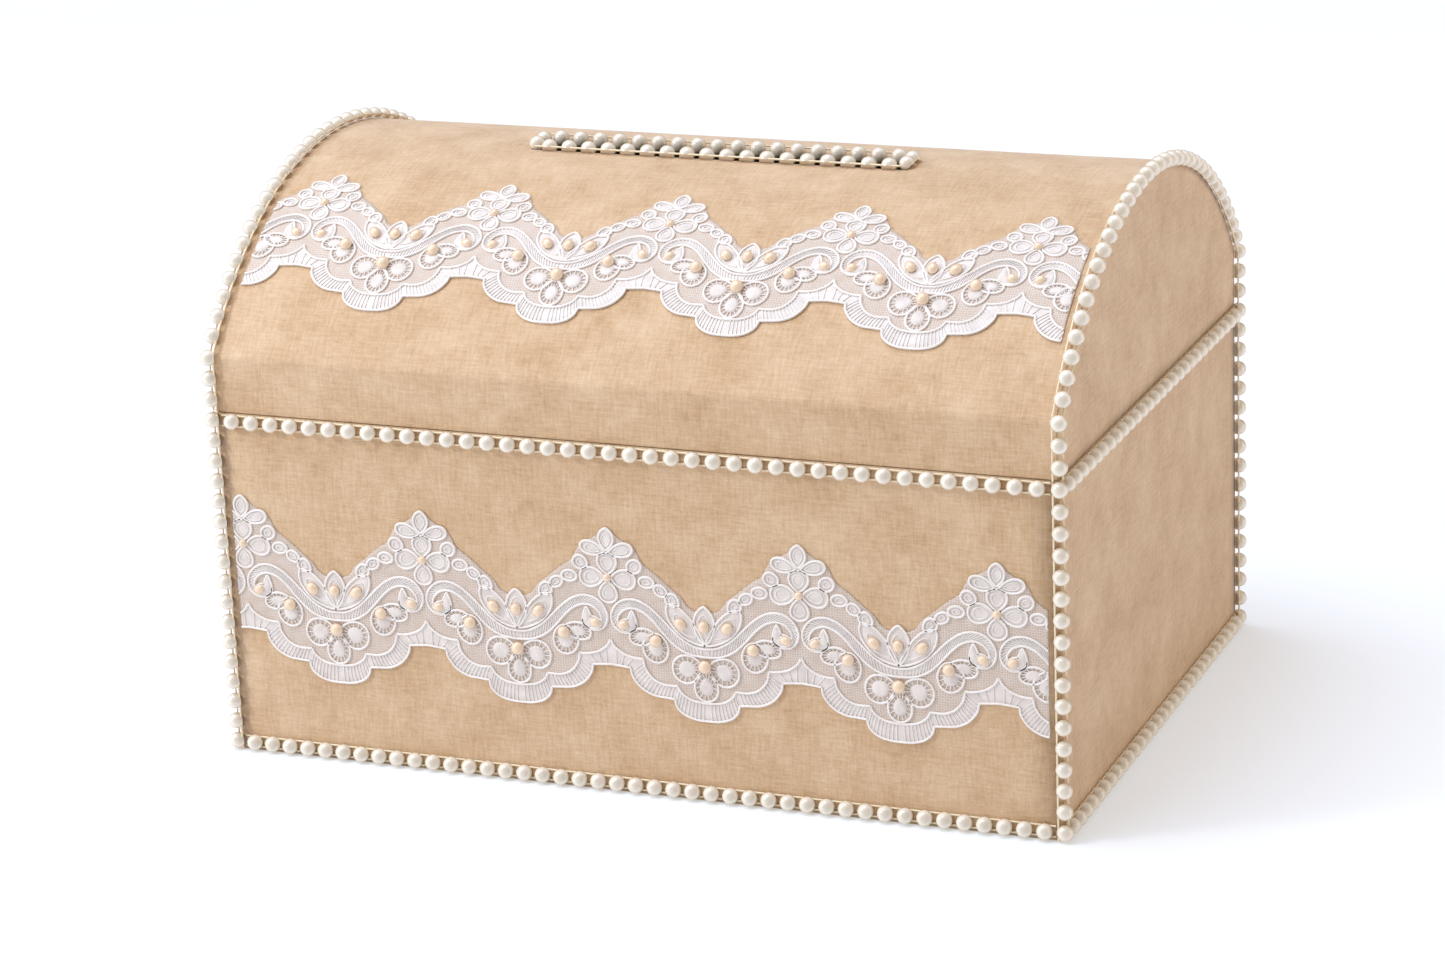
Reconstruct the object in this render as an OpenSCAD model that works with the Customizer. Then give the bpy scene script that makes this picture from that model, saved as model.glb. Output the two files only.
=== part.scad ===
// Wedding card box: a fabric-covered board chest with an arched lid hinged at the back,
// a card slot near the top of the arch, two bands of bridal lace and pearl trim on its edges.
// X is the width, -Y is the front and +Z is up. The origin is at the centre of the
// footprint, on the surface that the box stands on. All sizes are in millimetres.

/* [Box] */
// Width over the fabric
box_w = 370; // [300:1:450]
// Depth over the fabric
box_d = 262; // [215:1:320]
// Height of the parting line between the base and the lid
base_h = 151.8; // [125:0.1:185]
// Height of the lid's upright band, from the parting line to the crease
band_h = 24.2; // [20:0.1:30]
// Rise of the lid's arch above the crease
arch_rise = 68; // [55:1:82]

/* [Boards and skins] */
// Thickness of the flat boards
board_t = 3; // [2:0.1:4]
// Thickness of the bent board and of the rails under it
lid_board_t = 2.5; // [2:0.1:3.5]
// Thickness of the outer fabric
cloth_t = 0.6; // [0.4:0.05:0.9]
// Thickness of the paper lining
lining_t = 0.5; // [0.3:0.05:0.8]
// Thickness of the felt under the base
under_t = 0.8; // [0.6:0.05:1.2]
// Distance that fabric and lining stop short of the parting line
rim_reveal = 0.3; // [0.2:0.05:0.6]

/* [Card slot] */
// Length of the finished slot
slot_l = 171; // [140:1:208]
// Width of the finished slot
slot_w = 15.5; // [14.5:0.1:20]
// Distance of the slot's centre in front of the top of the arch
slot_setback = 9; // [0:0.5:20]

/* [Pearl trim] */
// Radius of a pearl
pearl_r = 3.5; // [2.9:0.1:4.2]
// Distance from a pearl's centre to its flat back
pearl_flat = 1.75; // [1.4:0.05:2.1]
// Spacing of the pearls on the rim, the corners, the arches and the slot
trim_pitch = 9.1; // [8.9:0.05:11]
// Spacing of the pearls along the bottom edges
foot_pitch = 8.5; // [8.45:0.05:10.5]
// Width of each of the two rails that join the pearls
rail_w = 0.9; // [0.7:0.05:1.1]
// Height of the rails
rail_t = 0.8; // [0.6:0.05:1]
// Height of the bottom pearls above the ground
foot_clear = 0.5; // [0.3:0.05:0.8]
// Thickness of the glue under the trim
glue_t = 0.05; // [0.03:0.01:0.1]

/* [Lace] */
// Width of one repeat of the lace on the base
base_lace_repeat = 84; // [70:0.5:101]
// Height of the lace on the base
base_lace_h = 80.5; // [66:0.5:96]
// Height of its lowest scallops above the ground
base_lace_z = 35.5; // [24:0.5:44]
// Place of the middle peak of the lace on the base
base_lace_x = -8.5; // [-20:0.5:20]
// Width of one repeat of the lace on the lid
lid_lace_repeat = 79.5; // [66:0.5:96]
// Height of the lace on the lid, along the arch
lid_lace_h = 75; // [62:0.5:90]
// Distance of its lowest scallops from the crease, along the arch
lid_lace_rise = 26; // [15:0.5:32]
// Place of the middle peak of the lace on the lid
lid_lace_x = 0.5; // [-20:0.5:20]
// Distance of the cut ends of both laces from the corners
lace_margin = 4.5; // [4:0.1:6]
// Thickness of the net
net_t = 0.4; // [0.3:0.05:0.6]
// Thickness of the corded embroidery on the net
cording_t = 0.8; // [0.6:0.05:1.2]
// Radius of the beads
bead_r = 1.8; // [1.5:0.05:2.1]

/* [Hinges] */
// Length of each hinge
hinge_l = 40; // [34:0.5:48]
// Distance of each hinge from the middle of the box
hinge_x = 110; // [90:1:125]
// Height of a leaf above or below the pin
leaf_h = 18; // [15.5:0.1:19]
// Thickness of a leaf
leaf_t = 1; // [0.8:0.05:1.2]
// Radius of the knuckles
knuckle_r = 2.35; // [2.2:0.05:2.6]
// Radius of the pin
pin_r = 1.2; // [1:0.05:1.4]
// Running clearance between the pin and a knuckle, on the radius
pin_clear = 0.05; // [0.03:0.01:0.1]
// Gap between neighbouring knuckles, and between a pin head and a knuckle
knuckle_gap = 0.3; // [0.2:0.05:0.5]
// Gap between the knuckles and what they turn past
sweep_clear = 0.5; // [0.3:0.05:0.8]
// Radius of a rivet's shank
rivet_r = 1.2; // [1:0.05:1.4]
// Radius of a rivet's head and foot
rivet_head_r = 2.2; // [1.9:0.05:2.6]
// Height of a rivet's domed head
rivet_head_t = 0.9; // [0.7:0.05:1.1]
// Thickness of a rivet's clenched foot
rivet_foot_t = 0.5; // [0.4:0.05:0.7]
// Distance between the two rivets of a leaf
rivet_spacing = 24; // [20:0.5:29]
// Distance of the rivets from the pin
rivet_drop = 11; // [9.5:0.1:13]
// Clearance round a rivet's shank and foot, on the radius
rivet_clear = 0.05; // [0.03:0.01:0.1]

/* [Hidden] */

$fn = 48;
ARC_FN = 180;
CUT = 1;

CLOTH = "#d8bc98";
BOARD = "#a58f70";
PAPER = "#efe6d6";
FELT = "#b9a387";
PEARL = "#f4eedf";
LACE = "#eeeaec";
BEAD = "#f3d3b4";
BRASS = "#c9a45c";

// Arch: the crease, the circle of the arch and half the angle that it spans
crease_z = base_h + band_h;
dome_r = (pow(box_d / 2, 2) + pow(arch_rise, 2)) / (2 * arch_rise);
dome_z = crease_z + arch_rise - dome_r;
half_arch = asin(box_d / 2 / dome_r);
top_z = dome_z + dome_r;

// Boards: half sizes of the box inside its fabric, and of the room inside the walls
board_w2 = box_w / 2 - cloth_t;
board_d2 = box_d / 2 - cloth_t;
room_w2 = board_w2 - board_t;
room_d2 = board_d2 - board_t;
floor_z = under_t + board_t;
base_cloth_top = base_h - rim_reveal;
lid_cloth_bottom = base_h + rim_reveal;
joint_z = arch_height(board_d2, cloth_t);

// Slot
slot_y = -slot_setback;

// Pearl trim: a pearl's flat back, its rails, and how far a corner strip stands off
flat_r = sqrt(pow(pearl_r, 2) - pow(pearl_flat, 2));
rail_inset = 0.28;
rail_y = flat_r - rail_inset - rail_w / 2;
rail_end = 0.3;
strip_gap = 0.4;
corner_off = (pearl_flat + glue_t) / sqrt(2);
corner_reach = pearl_r - corner_off + strip_gap;
foot_z = pearl_r + foot_clear;
rim_overlap = 0.2;
rim_z = base_h - pearl_r + rim_overlap;
arch_band = crease_z - rim_z;
arch_length = dome_r * 2 * half_arch * PI / 180;
arch_total = arch_length + 2 * arch_band;
arch_count = round(arch_total / trim_pitch);
arch_pitch = arch_total / arch_count;
slot_end_step = 2 * pearl_r;
slot_end_margin = 0.5;
end_pearl_y = min(pearl_r + 0.2, slot_w / 2 - pearl_r - slot_end_margin);
slot_row = slot_l - 2 * (corner_off + slot_end_step);

// Lace: half the length of both bands, and where the middle of the lid's lies on the arch
lace_w2 = box_w / 2 - lace_margin;
lid_lace_angle = (lid_lace_rise + lid_lace_h / 2) / dome_r * 180 / PI - half_arch;
lid_lace_depth = dome_r * (1 - cos(lid_lace_h / dome_r * 90 / PI)) + net_t + cording_t + 2 * CUT;
// Beads of one repeat, as shares of its width and height, counted from the peak
LACE_BEADS = [
    [0, 0.79], [0.5, 0.52], [0.43, 0.47], [-0.43, 0.47],
    [0.5, 0.25], [0.13, 0.47], [-0.13, 0.47], [0.27, 0.31], [-0.27, 0.31]
];

// Hinges: the pin's line lies behind the fabric, level with the parting line
hinge_y = box_d / 2 + knuckle_r + sweep_clear;
knuckle_l = hinge_l / 3;
leaf_edge = 0.9;
pin_head_r = pin_r + 0.7;
pin_head_t = 0.9;
hinge_zone = hinge_l / 2 + knuckle_gap + pin_head_t + strip_gap;

function arch_height(y, inset) = dome_z + sqrt(pow(dome_r - inset, 2) - pow(y, 2));

// Point of the lid's end edge at distance s from the front rim pearl: [y, z, tilt]
function arch_angle(s) = (s - arch_band) / dome_r * 180 / PI - half_arch;
function edge_point(s) =
    s < arch_band ? [-box_d / 2, rim_z + s, 90] :
    s > arch_total - arch_band ? [box_d / 2, rim_z + arch_total - s, -90] :
    [dome_r * sin(arch_angle(s)), dome_z + dome_r * cos(arch_angle(s)), -arch_angle(s)];

// ---------- shared shapes ----------

// A box given by its two opposite corners
module block(low, high) {
    translate(low) cube(high - low);
}

// A flat YZ shape drawn in XY and drawn out along X
module along_x(x0, x1) {
    translate([x0, 0, 0]) rotate([90, 0, 90]) linear_extrude(height = x1 - x0) children();
}

// A round bar along X
module bar_x(x0, x1, r) {
    translate([x0, 0, 0]) rotate([0, 90, 0]) cylinder(r = r, h = x1 - x0);
}

// End view of the lid, a distance inside its outer surface
module lid_outline(inset, bottom = base_h) {
    intersection() {
        translate([0, dome_z]) circle(r = dome_r - inset, $fn = ARC_FN);
        translate([inset - box_d / 2, bottom]) square([box_d - 2 * inset, top_z]);
    }
}

// End view of one layer of the lid
module lid_layer(inset, thickness, bottom = base_h) {
    difference() {
        lid_outline(inset, bottom);
        lid_outline(inset + thickness, bottom - CUT);
    }
}

// The slot as a block that cuts the arch, larger all round by a margin
module slot_cutter(margin) {
    block([-slot_l / 2 - margin, slot_y - slot_w / 2 - margin, crease_z],
          [slot_l / 2 + margin, slot_y + slot_w / 2 + margin, top_z + CUT]);
}

// An upright ring between two rectangles, given by their half sizes
module wall_ring(w2, d2, thickness, bottom, top) {
    difference() {
        block([-w2, -d2, bottom], [w2, d2, top]);
        block([thickness - w2, thickness - d2, bottom - CUT],
              [w2 - thickness, d2 - thickness, top + CUT]);
    }
}

// ---------- base ----------

module underside_felt() {
    color(FELT) block([-box_w / 2, -box_d / 2, 0], [box_w / 2, box_d / 2, under_t]);
}

module base_floor_board() {
    color(BOARD) block([-room_w2, -room_d2, under_t], [room_w2, room_d2, floor_z]);
}

module base_front_board() {
    color(BOARD) block([-board_w2, -board_d2, under_t], [board_w2, -room_d2, base_h]);
}

module base_back_board() {
    color(BOARD) difference() {
        block([-board_w2, room_d2, under_t], [board_w2, board_d2, base_h]);
        rivet_holes(-1, board_t);
    }
}

module base_left_board() {
    color(BOARD) block([-board_w2, -room_d2, under_t], [-room_w2, room_d2, base_h]);
}

module base_right_board() {
    color(BOARD) block([room_w2, -room_d2, under_t], [board_w2, room_d2, base_h]);
}

module base_cloth() {
    color(CLOTH) difference() {
        wall_ring(box_w / 2, box_d / 2, cloth_t, under_t, base_cloth_top);
        rivet_holes(-1, board_t);
    }
}

module base_lining_walls() {
    color(PAPER) wall_ring(room_w2, room_d2, lining_t, floor_z, base_cloth_top);
}

module base_lining_floor() {
    color(PAPER) block([lining_t - room_w2, lining_t - room_d2, floor_z],
                       [room_w2 - lining_t, room_d2 - lining_t, floor_z + lining_t]);
}

// ---------- lid ----------

// One of the two rails of the upright band: side -1 is the front, 1 the back
module lid_rail(side) {
    along_x(-board_w2, board_w2) intersection() {
        lid_layer(cloth_t, lid_board_t);
        translate([side < 0 ? -box_d / 2 : 0, base_h - CUT])
            square([box_d / 2, joint_z - base_h + CUT]);
    }
}

module lid_front_rail() {
    color(BOARD) lid_rail(-1);
}

module lid_back_rail() {
    color(BOARD) difference() {
        lid_rail(1);
        rivet_holes(1, lid_board_t);
    }
}

// A flat arched panel of the lid, with its inner face at x0
module lid_end(x0, thickness, inset, bottom = base_h) {
    along_x(x0, x0 + thickness) lid_outline(inset, bottom);
}

module lid_left_end_board() {
    color(BOARD) lid_end(-board_w2, board_t, cloth_t + lid_board_t);
}

module lid_right_end_board() {
    color(BOARD) lid_end(room_w2, board_t, cloth_t + lid_board_t);
}

module lid_dome_board() {
    color(BOARD) difference() {
        along_x(-board_w2, board_w2) intersection() {
            lid_layer(cloth_t, lid_board_t);
            translate([-box_d / 2, joint_z]) square([box_d, top_z]);
        }
        slot_cutter(cloth_t);
    }
}

module lid_cloth() {
    color(CLOTH) difference() {
        along_x(-board_w2, board_w2) lid_layer(0, cloth_t, lid_cloth_bottom);
        slot_cutter(0);
        rivet_holes(1, lid_board_t);
    }
}

module lid_cloth_left_end() {
    color(CLOTH) lid_end(-box_w / 2, cloth_t, 0, lid_cloth_bottom);
}

module lid_cloth_right_end() {
    color(CLOTH) lid_end(board_w2, cloth_t, 0, lid_cloth_bottom);
}

module lid_lining() {
    color(PAPER) difference() {
        along_x(lining_t - room_w2, room_w2 - lining_t)
            lid_layer(cloth_t + lid_board_t, lining_t, lid_cloth_bottom);
        slot_cutter(cloth_t);
    }
}

module lid_lining_left_end() {
    color(PAPER) lid_end(-room_w2, lining_t, cloth_t + lid_board_t, lid_cloth_bottom);
}

module lid_lining_right_end() {
    color(PAPER) lid_end(room_w2 - lining_t, lining_t, cloth_t + lid_board_t, lid_cloth_bottom);
}

// Fabric turned down through the slot, against the cut edge of the board
module slot_binding() {
    color(CLOTH) intersection() {
        along_x(-slot_l, slot_l) lid_layer(cloth_t, lid_board_t + lining_t);
        difference() {
            slot_cutter(cloth_t);
            slot_cutter(0);
        }
    }
}

// ---------- pearl trim ----------
// A strip lies along X with its flat back on the XY plane, facing +Z.

// A ball with a flat back
module pearl() {
    intersection() {
        translate([0, 0, pearl_flat]) sphere(r = pearl_r, $fn = 32);
        block([-pearl_r, -pearl_r, 0], [pearl_r, pearl_r, 2 * pearl_r]);
    }
}

// The two rails from x0 to x1
module rails(x0, x1) {
    for (side = [-1, 1])
        translate([x0, side * rail_y - rail_w / 2, 0]) cube([x1 - x0, rail_w, rail_t]);
}

// Pearls at even steps between two corner pearls that are not part of it
module pearl_row(between, pitch, rail_length) {
    count = round(between / pitch);
    translate([0, 0, glue_t]) {
        for (i = [1 : count - 1]) translate([i * between / count - between / 2, 0, 0]) pearl();
        rails(-rail_length / 2, rail_length / 2);
    }
}

// Puts a strip on a side of the box: turn is 0 for the front, then on by 90 for the right
module on_side(turn, half_depth, z) {
    rotate([0, 0, turn]) translate([0, -half_depth, z]) rotate([90, 0, 0]) children();
}

// A row along one side of the box at height z
module side_row(turn, half_depth, half_length, z, pitch) {
    on_side(turn, half_depth, z)
        pearl_row(2 * (half_length + corner_off), pitch, 2 * (half_length - corner_reach));
}

module foot_pearls_front() {
    color(PEARL) side_row(0, box_d / 2, box_w / 2, foot_z, foot_pitch);
}

module foot_pearls_right() {
    color(PEARL) side_row(90, box_w / 2, box_d / 2, foot_z, foot_pitch);
}

module foot_pearls_back() {
    color(PEARL) side_row(180, box_d / 2, box_w / 2, foot_z, foot_pitch);
}

module foot_pearls_left() {
    color(PEARL) side_row(270, box_w / 2, box_d / 2, foot_z, foot_pitch);
}

module rim_pearls_front() {
    color(PEARL) side_row(0, box_d / 2, box_w / 2, rim_z, trim_pitch);
}

module rim_pearls_right() {
    color(PEARL) side_row(90, box_w / 2, box_d / 2, rim_z, trim_pitch);
}

module rim_pearls_left() {
    color(PEARL) side_row(270, box_w / 2, box_d / 2, rim_z, trim_pitch);
}

// The back row is cut into three strips that leave the hinges free
module rim_pearls_back() {
    between = box_w + 2 * corner_off;
    count = round(between / trim_pitch);
    outer_end = box_w / 2 - corner_reach;
    color(PEARL) on_side(180, box_d / 2, rim_z) translate([0, 0, glue_t]) {
        for (i = [1 : count - 1]) {
            x = i * between / count - between / 2;
            if (abs(abs(x) - hinge_x) > hinge_zone + pearl_r) translate([x, 0, 0]) pearl();
        }
        rails(-outer_end, -hinge_x - hinge_zone);
        rails(hinge_zone - hinge_x, hinge_x - hinge_zone);
        rails(hinge_x + hinge_zone, outer_end);
    }
}

// A strip up one corner of the base, turned to face out at 45 degrees
module corner_pearls(side_x, side_y) {
    count = round((rim_z - foot_z) / trim_pitch);
    color(PEARL) translate([side_x * box_w / 2, side_y * box_d / 2, 0])
        rotate([0, 0, atan2(side_y, side_x) - 180]) rotate([0, -90, 0])
            translate([0, 0, glue_t]) {
                for (i = [0 : count])
                    translate([foot_z + i * (rim_z - foot_z) / count, 0, 0]) pearl();
                rails(foot_clear, base_cloth_top);
            }
}

module corner_pearls_front_left() {
    corner_pearls(-1, -1);
}

module corner_pearls_front_right() {
    corner_pearls(1, -1);
}

module corner_pearls_back_left() {
    corner_pearls(-1, 1);
}

module corner_pearls_back_right() {
    corner_pearls(1, 1);
}

// Straight rails between two points of the lid's end edge, ending just inside the pearls
module edge_rails(side, s0, s1) {
    p = edge_point(s0);
    q = edge_point(s1);
    translate([side * box_w / 2, p[0], p[1]]) rotate([atan2(q[1] - p[1], q[0] - p[0]), 0, 0])
        rotate([0, side * 45, 0]) rotate([0, 0, 90]) translate([0, 0, glue_t])
            rails(rail_end, norm([q[0] - p[0], q[1] - p[1]]) - rail_end);
}

// A strip over the lid's end edge, from rim to rim
module arch_pearls(side) {
    rail_start = lid_cloth_bottom - rim_z;
    color(PEARL) {
        for (i = [1 : arch_count - 1]) {
            p = edge_point(i * arch_pitch);
            translate([side * box_w / 2, p[0], p[1]]) rotate([p[2], 0, 0])
                rotate([0, side * 45, 0]) translate([0, 0, glue_t]) pearl();
        }
        for (i = [0 : arch_count - 1])
            edge_rails(side, max(i * arch_pitch, rail_start),
                       min((i + 1) * arch_pitch, arch_total - rail_start));
    }
}

module arch_pearls_left() {
    arch_pearls(-1);
}

module arch_pearls_right() {
    arch_pearls(1);
}

// A strip along one long edge of the slot, leaning over it: side -1 is the front edge
module slot_row(side) {
    edge_y = slot_y + side * slot_w / 2;
    count = round(slot_row / trim_pitch);
    translate([0, edge_y, arch_height(edge_y, 0)]) rotate([side * 45, 0, 0])
        translate([0, 0, glue_t]) {
            for (i = [0 : count]) translate([i * slot_row / count - slot_row / 2, 0, 0]) pearl();
            rails(corner_reach - slot_l / 2, slot_l / 2 - corner_reach);
        }
}

module slot_pearls_front() {
    color(PEARL) slot_row(-1);
}

module slot_pearls_back() {
    color(PEARL) slot_row(1);
}

// Two pearls with short rails across each end of the slot
module slot_pearls_ends() {
    end_rail = slot_w / 2 - corner_reach;
    color(PEARL) for (side = [-1, 1])
        translate([side * slot_l / 2, slot_y, arch_height(slot_y, 0)])
            rotate([-asin(slot_y / dome_r), 0, 0]) rotate([0, -side * 45, 0])
                rotate([0, 0, 90]) translate([0, 0, glue_t]) {
                    for (step = [-1, 1]) translate([step * end_pearl_y, 0, 0]) pearl();
                    rails(-end_rail, end_rail);
                }
}

// ---------- lace ----------
// A lace is drawn flat, with its lowest scallops on y = 0 and a peak at x = 0.

// Scallops of one repeat as [x, y, radius], from the valley's large one outwards
function scallops(p, h) = [
    [p / 2, 0.16 * p, 0.16 * p],
    for (side = [-1, 1]) each [
        [side * 0.29 * p, 0.2 * h, 0.1 * p], [side * 0.13 * p, 0.34 * h, 0.075 * p]
    ]
];

// Net of one repeat, t thick, which laps a little over the next one
module net_repeat(p, h, t) {
    end_x = 0.505 * p;
    linear_extrude(height = t) polygon([[0, h], [0.41 * p, 0.55 * h], [end_x, 0.62 * h], [end_x, 0.2 * h],
             [0.29 * p, 0.18 * h], [0, 0.4 * h], [-0.29 * p, 0.18 * h],
             [-end_x, 0.2 * h], [-end_x, 0.62 * h], [-0.41 * p, 0.55 * h]]);
    for (s = scallops(p, h)) translate([s[0], s[1], 0]) cylinder(r = s[2], h = t);
}

// Satin border along the scallops of one repeat
module border_repeat(p, h) {
    width = 0.035 * p;
    difference() {
        union() for (s = scallops(p, h)) translate([s[0], s[1]]) circle(r = s[2]);
        for (s = scallops(p, h)) translate([s[0], s[1]]) circle(r = s[2] - width);
        polygon([[0, 0.37 * h], [0.3 * p, 0.19 * h], [0.7 * p, 0.19 * h], [0.7 * p, h],
                 [-0.3 * p, h], [-0.3 * p, 0.19 * h]]);
    }
}

// Scrolling band that dips at the valley and rises to a volute beside the peak
module wave_repeat(p, h) {
    width = 0.04 * p;
    valley_r = 0.2 * p;
    volute_r = 0.085 * p;
    translate([p / 2, 0.39 * h + valley_r * 0.8]) intersection() {
        difference() {
            circle(r = valley_r);
            circle(r = valley_r - width);
        }
        translate([-valley_r, -valley_r]) square([2 * valley_r, valley_r * 0.75]);
    }
    for (side = [-1, 1]) translate([side * (volute_r + 0.02 * p), 0.48 * h]) difference() {
        circle(r = volute_r);
        circle(r = volute_r - width);
    }
}

// Round petals at even angles about a point
module flower(x, y, petals, reach, r, start) {
    for (i = [0 : petals - 1])
        translate([x + reach * cos(start + i * 360 / petals), y + reach * sin(start + i * 360 / petals)])
            circle(r = r);
}

// Outline of all raised embroidery of one repeat
module embroidery_outline(p, h) {
    border_repeat(p, h);
    wave_repeat(p, h);
    flower(0, 0.79 * h, 4, 0.05 * p, 0.038 * p, 45);
    flower(p / 2, 0.245 * h, 3, 0.065 * p, 0.045 * p, 90);
    flower(p / 2, 0.53 * h, 3, 0.05 * p, 0.04 * p, 90);
    for (side = [-1, 1]) {
        flower(side * 0.27 * p, 0.31 * h, 2, 0.035 * p, 0.035 * p, 0);
        for (i = [1 : 3])
            translate([side * (0.11 + 0.065 * i) * p, (0.84 - 0.07 * i) * h]) circle(r = 0.022 * p);
    }
}

// Raised embroidery of one repeat, t thick, kept to the net
module embroidery_repeat(p, h, t) {
    intersection() {
        linear_extrude(height = t) embroidery_outline(p, h);
        net_repeat(p, h, t);
    }
}

// Repeats of a pattern t thick, cut off at both ends of the band
module lace_band(p, h, t, x0) {
    count = ceil(box_w / p / 2);
    intersection() {
        for (i = [-count : count]) translate([x0 + i * p, 0, 0]) children();
        block([-lace_w2, 0, 0], [lace_w2, h, t]);
    }
}

// A band laid on the front of the base, its back a distance in front of the fabric
module on_base_front(distance) {
    color(LACE) translate([0, -box_d / 2 - distance, base_lace_z]) rotate([90, 0, 0]) children();
}

module base_lace_net() {
    on_base_front(0) lace_band(base_lace_repeat, base_lace_h, net_t, base_lace_x)
        net_repeat(base_lace_repeat, base_lace_h, net_t);
}

module base_lace_embroidery() {
    on_base_front(net_t) lace_band(base_lace_repeat, base_lace_h, cording_t, base_lace_x)
        embroidery_repeat(base_lace_repeat, base_lace_h, cording_t);
}

// A band bent over the arch, between two heights above its fabric, cut from children depth thick
module on_arch(bottom, top, depth) {
    color(LACE) intersection() {
        translate([0, 0, dome_z]) rotate([-lid_lace_angle, 0, 0])
            translate([0, -lid_lace_h / 2, dome_r + top + CUT - depth]) children();
        along_x(-box_w / 2, box_w / 2) translate([0, dome_z]) difference() {
            circle(r = dome_r + top, $fn = ARC_FN);
            circle(r = dome_r + bottom, $fn = ARC_FN);
        }
    }
}

module lid_lace_net() {
    on_arch(0, net_t, lid_lace_depth)
        lace_band(lid_lace_repeat, lid_lace_h, lid_lace_depth, lid_lace_x)
            net_repeat(lid_lace_repeat, lid_lace_h, lid_lace_depth);
}

module lid_lace_embroidery() {
    on_arch(net_t, net_t + cording_t, lid_lace_depth)
        lace_band(lid_lace_repeat, lid_lace_h, lid_lace_depth, lid_lace_x)
            embroidery_repeat(lid_lace_repeat, lid_lace_h, lid_lace_depth);
}

// A round bead with a flat back, facing +Z
module bead() {
    intersection() {
        sphere(r = bead_r, $fn = 24);
        block([-bead_r, -bead_r, 0], [bead_r, bead_r, bead_r]);
    }
}

// Places of the beads of a whole band, as [x, y]
function bead_places(p, h, x0) = [
    for (i = [-ceil(box_w / p / 2) : ceil(box_w / p / 2)]) for (b = LACE_BEADS)
        let (x = x0 + (i + b[0]) * p)
            if (abs(x) < lace_w2 - bead_r) [x, b[1] * h]
];

module base_lace_beads() {
    color(BEAD) translate([0, -box_d / 2 - net_t - cording_t, base_lace_z]) rotate([90, 0, 0])
        for (b = bead_places(base_lace_repeat, base_lace_h, base_lace_x)) translate(b) bead();
}

module lid_lace_beads() {
    color(BEAD) translate([0, 0, dome_z])
        for (b = bead_places(lid_lace_repeat, lid_lace_h, lid_lace_x))
            rotate([-lid_lace_angle - (b[1] - lid_lace_h / 2) / dome_r * 180 / PI, 0, 0])
                translate([b[0], 0, dome_r + net_t + cording_t]) bead();
}

// ---------- hinges ----------

// Places children at each rivet: side_z is -1 for the base leaves and 1 for the lid's
module at_rivets(side_z) {
    for (hinge = [-hinge_x, hinge_x]) for (step = [-1, 1])
        translate([hinge + step * rivet_spacing / 2, box_d / 2, base_h + side_z * rivet_drop])
            rotate([-90, 0, 0]) children();
}

// Holes through fabric and board, with a recess inside for the clenched foot
module rivet_holes(side_z, thickness) {
    inner = -cloth_t - thickness;
    at_rivets(side_z) {
        translate([0, 0, inner - CUT])
            cylinder(r = rivet_r + rivet_clear, h = thickness + cloth_t + 2 * CUT);
        translate([0, 0, inner - CUT])
            cylinder(r = rivet_head_r + rivet_clear, h = rivet_foot_t + CUT);
    }
}

// Rivets through a leaf, the fabric and a board
module rivets(side_z, thickness) {
    inner = -cloth_t - thickness;
    cap_r = (pow(rivet_head_r, 2) + pow(rivet_head_t, 2)) / (2 * rivet_head_t);
    color(BRASS) at_rivets(side_z) {
        translate([0, 0, inner]) cylinder(r = rivet_r, h = thickness + cloth_t + leaf_t);
        translate([0, 0, inner]) cylinder(r = rivet_head_r, h = rivet_foot_t);
        intersection() {
            translate([0, 0, leaf_t + rivet_head_t - cap_r]) sphere(r = cap_r);
            translate([0, 0, leaf_t]) cylinder(r = rivet_head_r, h = rivet_head_t);
        }
    }
}

module hinge_base_rivets() {
    rivets(-1, board_t);
}

module hinge_lid_rivets() {
    rivets(1, lid_board_t);
}

// X range of one of the three knuckles of a hinge, counted from its left end
function knuckle_span(i) = [
    -hinge_l / 2 + i * knuckle_l + (i > 0 ? knuckle_gap / 2 : 0),
    -hinge_l / 2 + (i + 1) * knuckle_l - (i < 2 ? knuckle_gap / 2 : 0)
];

// A leaf with its knuckles: own lists the knuckles that it carries, other the rest
module hinge_leaf(x, side_z, own, other) {
    color(BRASS) difference() {
        translate([x, hinge_y, base_h]) difference() {
            union() {
                difference() {
                    translate([-hinge_l / 2, box_d / 2 - hinge_y, side_z > 0 ? leaf_edge : -leaf_h])
                        cube([hinge_l, leaf_t, leaf_h - leaf_edge]);
                    for (i = other)
                        bar_x(knuckle_span(i)[0] - knuckle_gap, knuckle_span(i)[1] + knuckle_gap,
                              knuckle_r + sweep_clear);
                }
                for (i = own) bar_x(knuckle_span(i)[0], knuckle_span(i)[1], knuckle_r);
            }
            bar_x(-hinge_l, hinge_l, pin_r + pin_clear);
        }
        at_rivets(side_z) cylinder(r = rivet_r + rivet_clear, h = leaf_t + CUT);
    }
}

module hinge_base_leaf_left() {
    hinge_leaf(-hinge_x, -1, [0, 2], [1]);
}

module hinge_base_leaf_right() {
    hinge_leaf(hinge_x, -1, [0, 2], [1]);
}

module hinge_lid_leaf_left() {
    hinge_leaf(-hinge_x, 1, [1], [0, 2]);
}

module hinge_lid_leaf_right() {
    hinge_leaf(hinge_x, 1, [1], [0, 2]);
}

// A pin with a flat head at each end
module hinge_pin(x) {
    half = hinge_l / 2 + knuckle_gap;
    color(BRASS) translate([x, hinge_y, base_h]) {
        bar_x(-half, half, pin_r);
        bar_x(-half - pin_head_t, -half, pin_head_r);
        bar_x(half, half + pin_head_t, pin_head_r);
    }
}

module hinge_pin_left() {
    hinge_pin(-hinge_x);
}

module hinge_pin_right() {
    hinge_pin(hinge_x);
}

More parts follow.
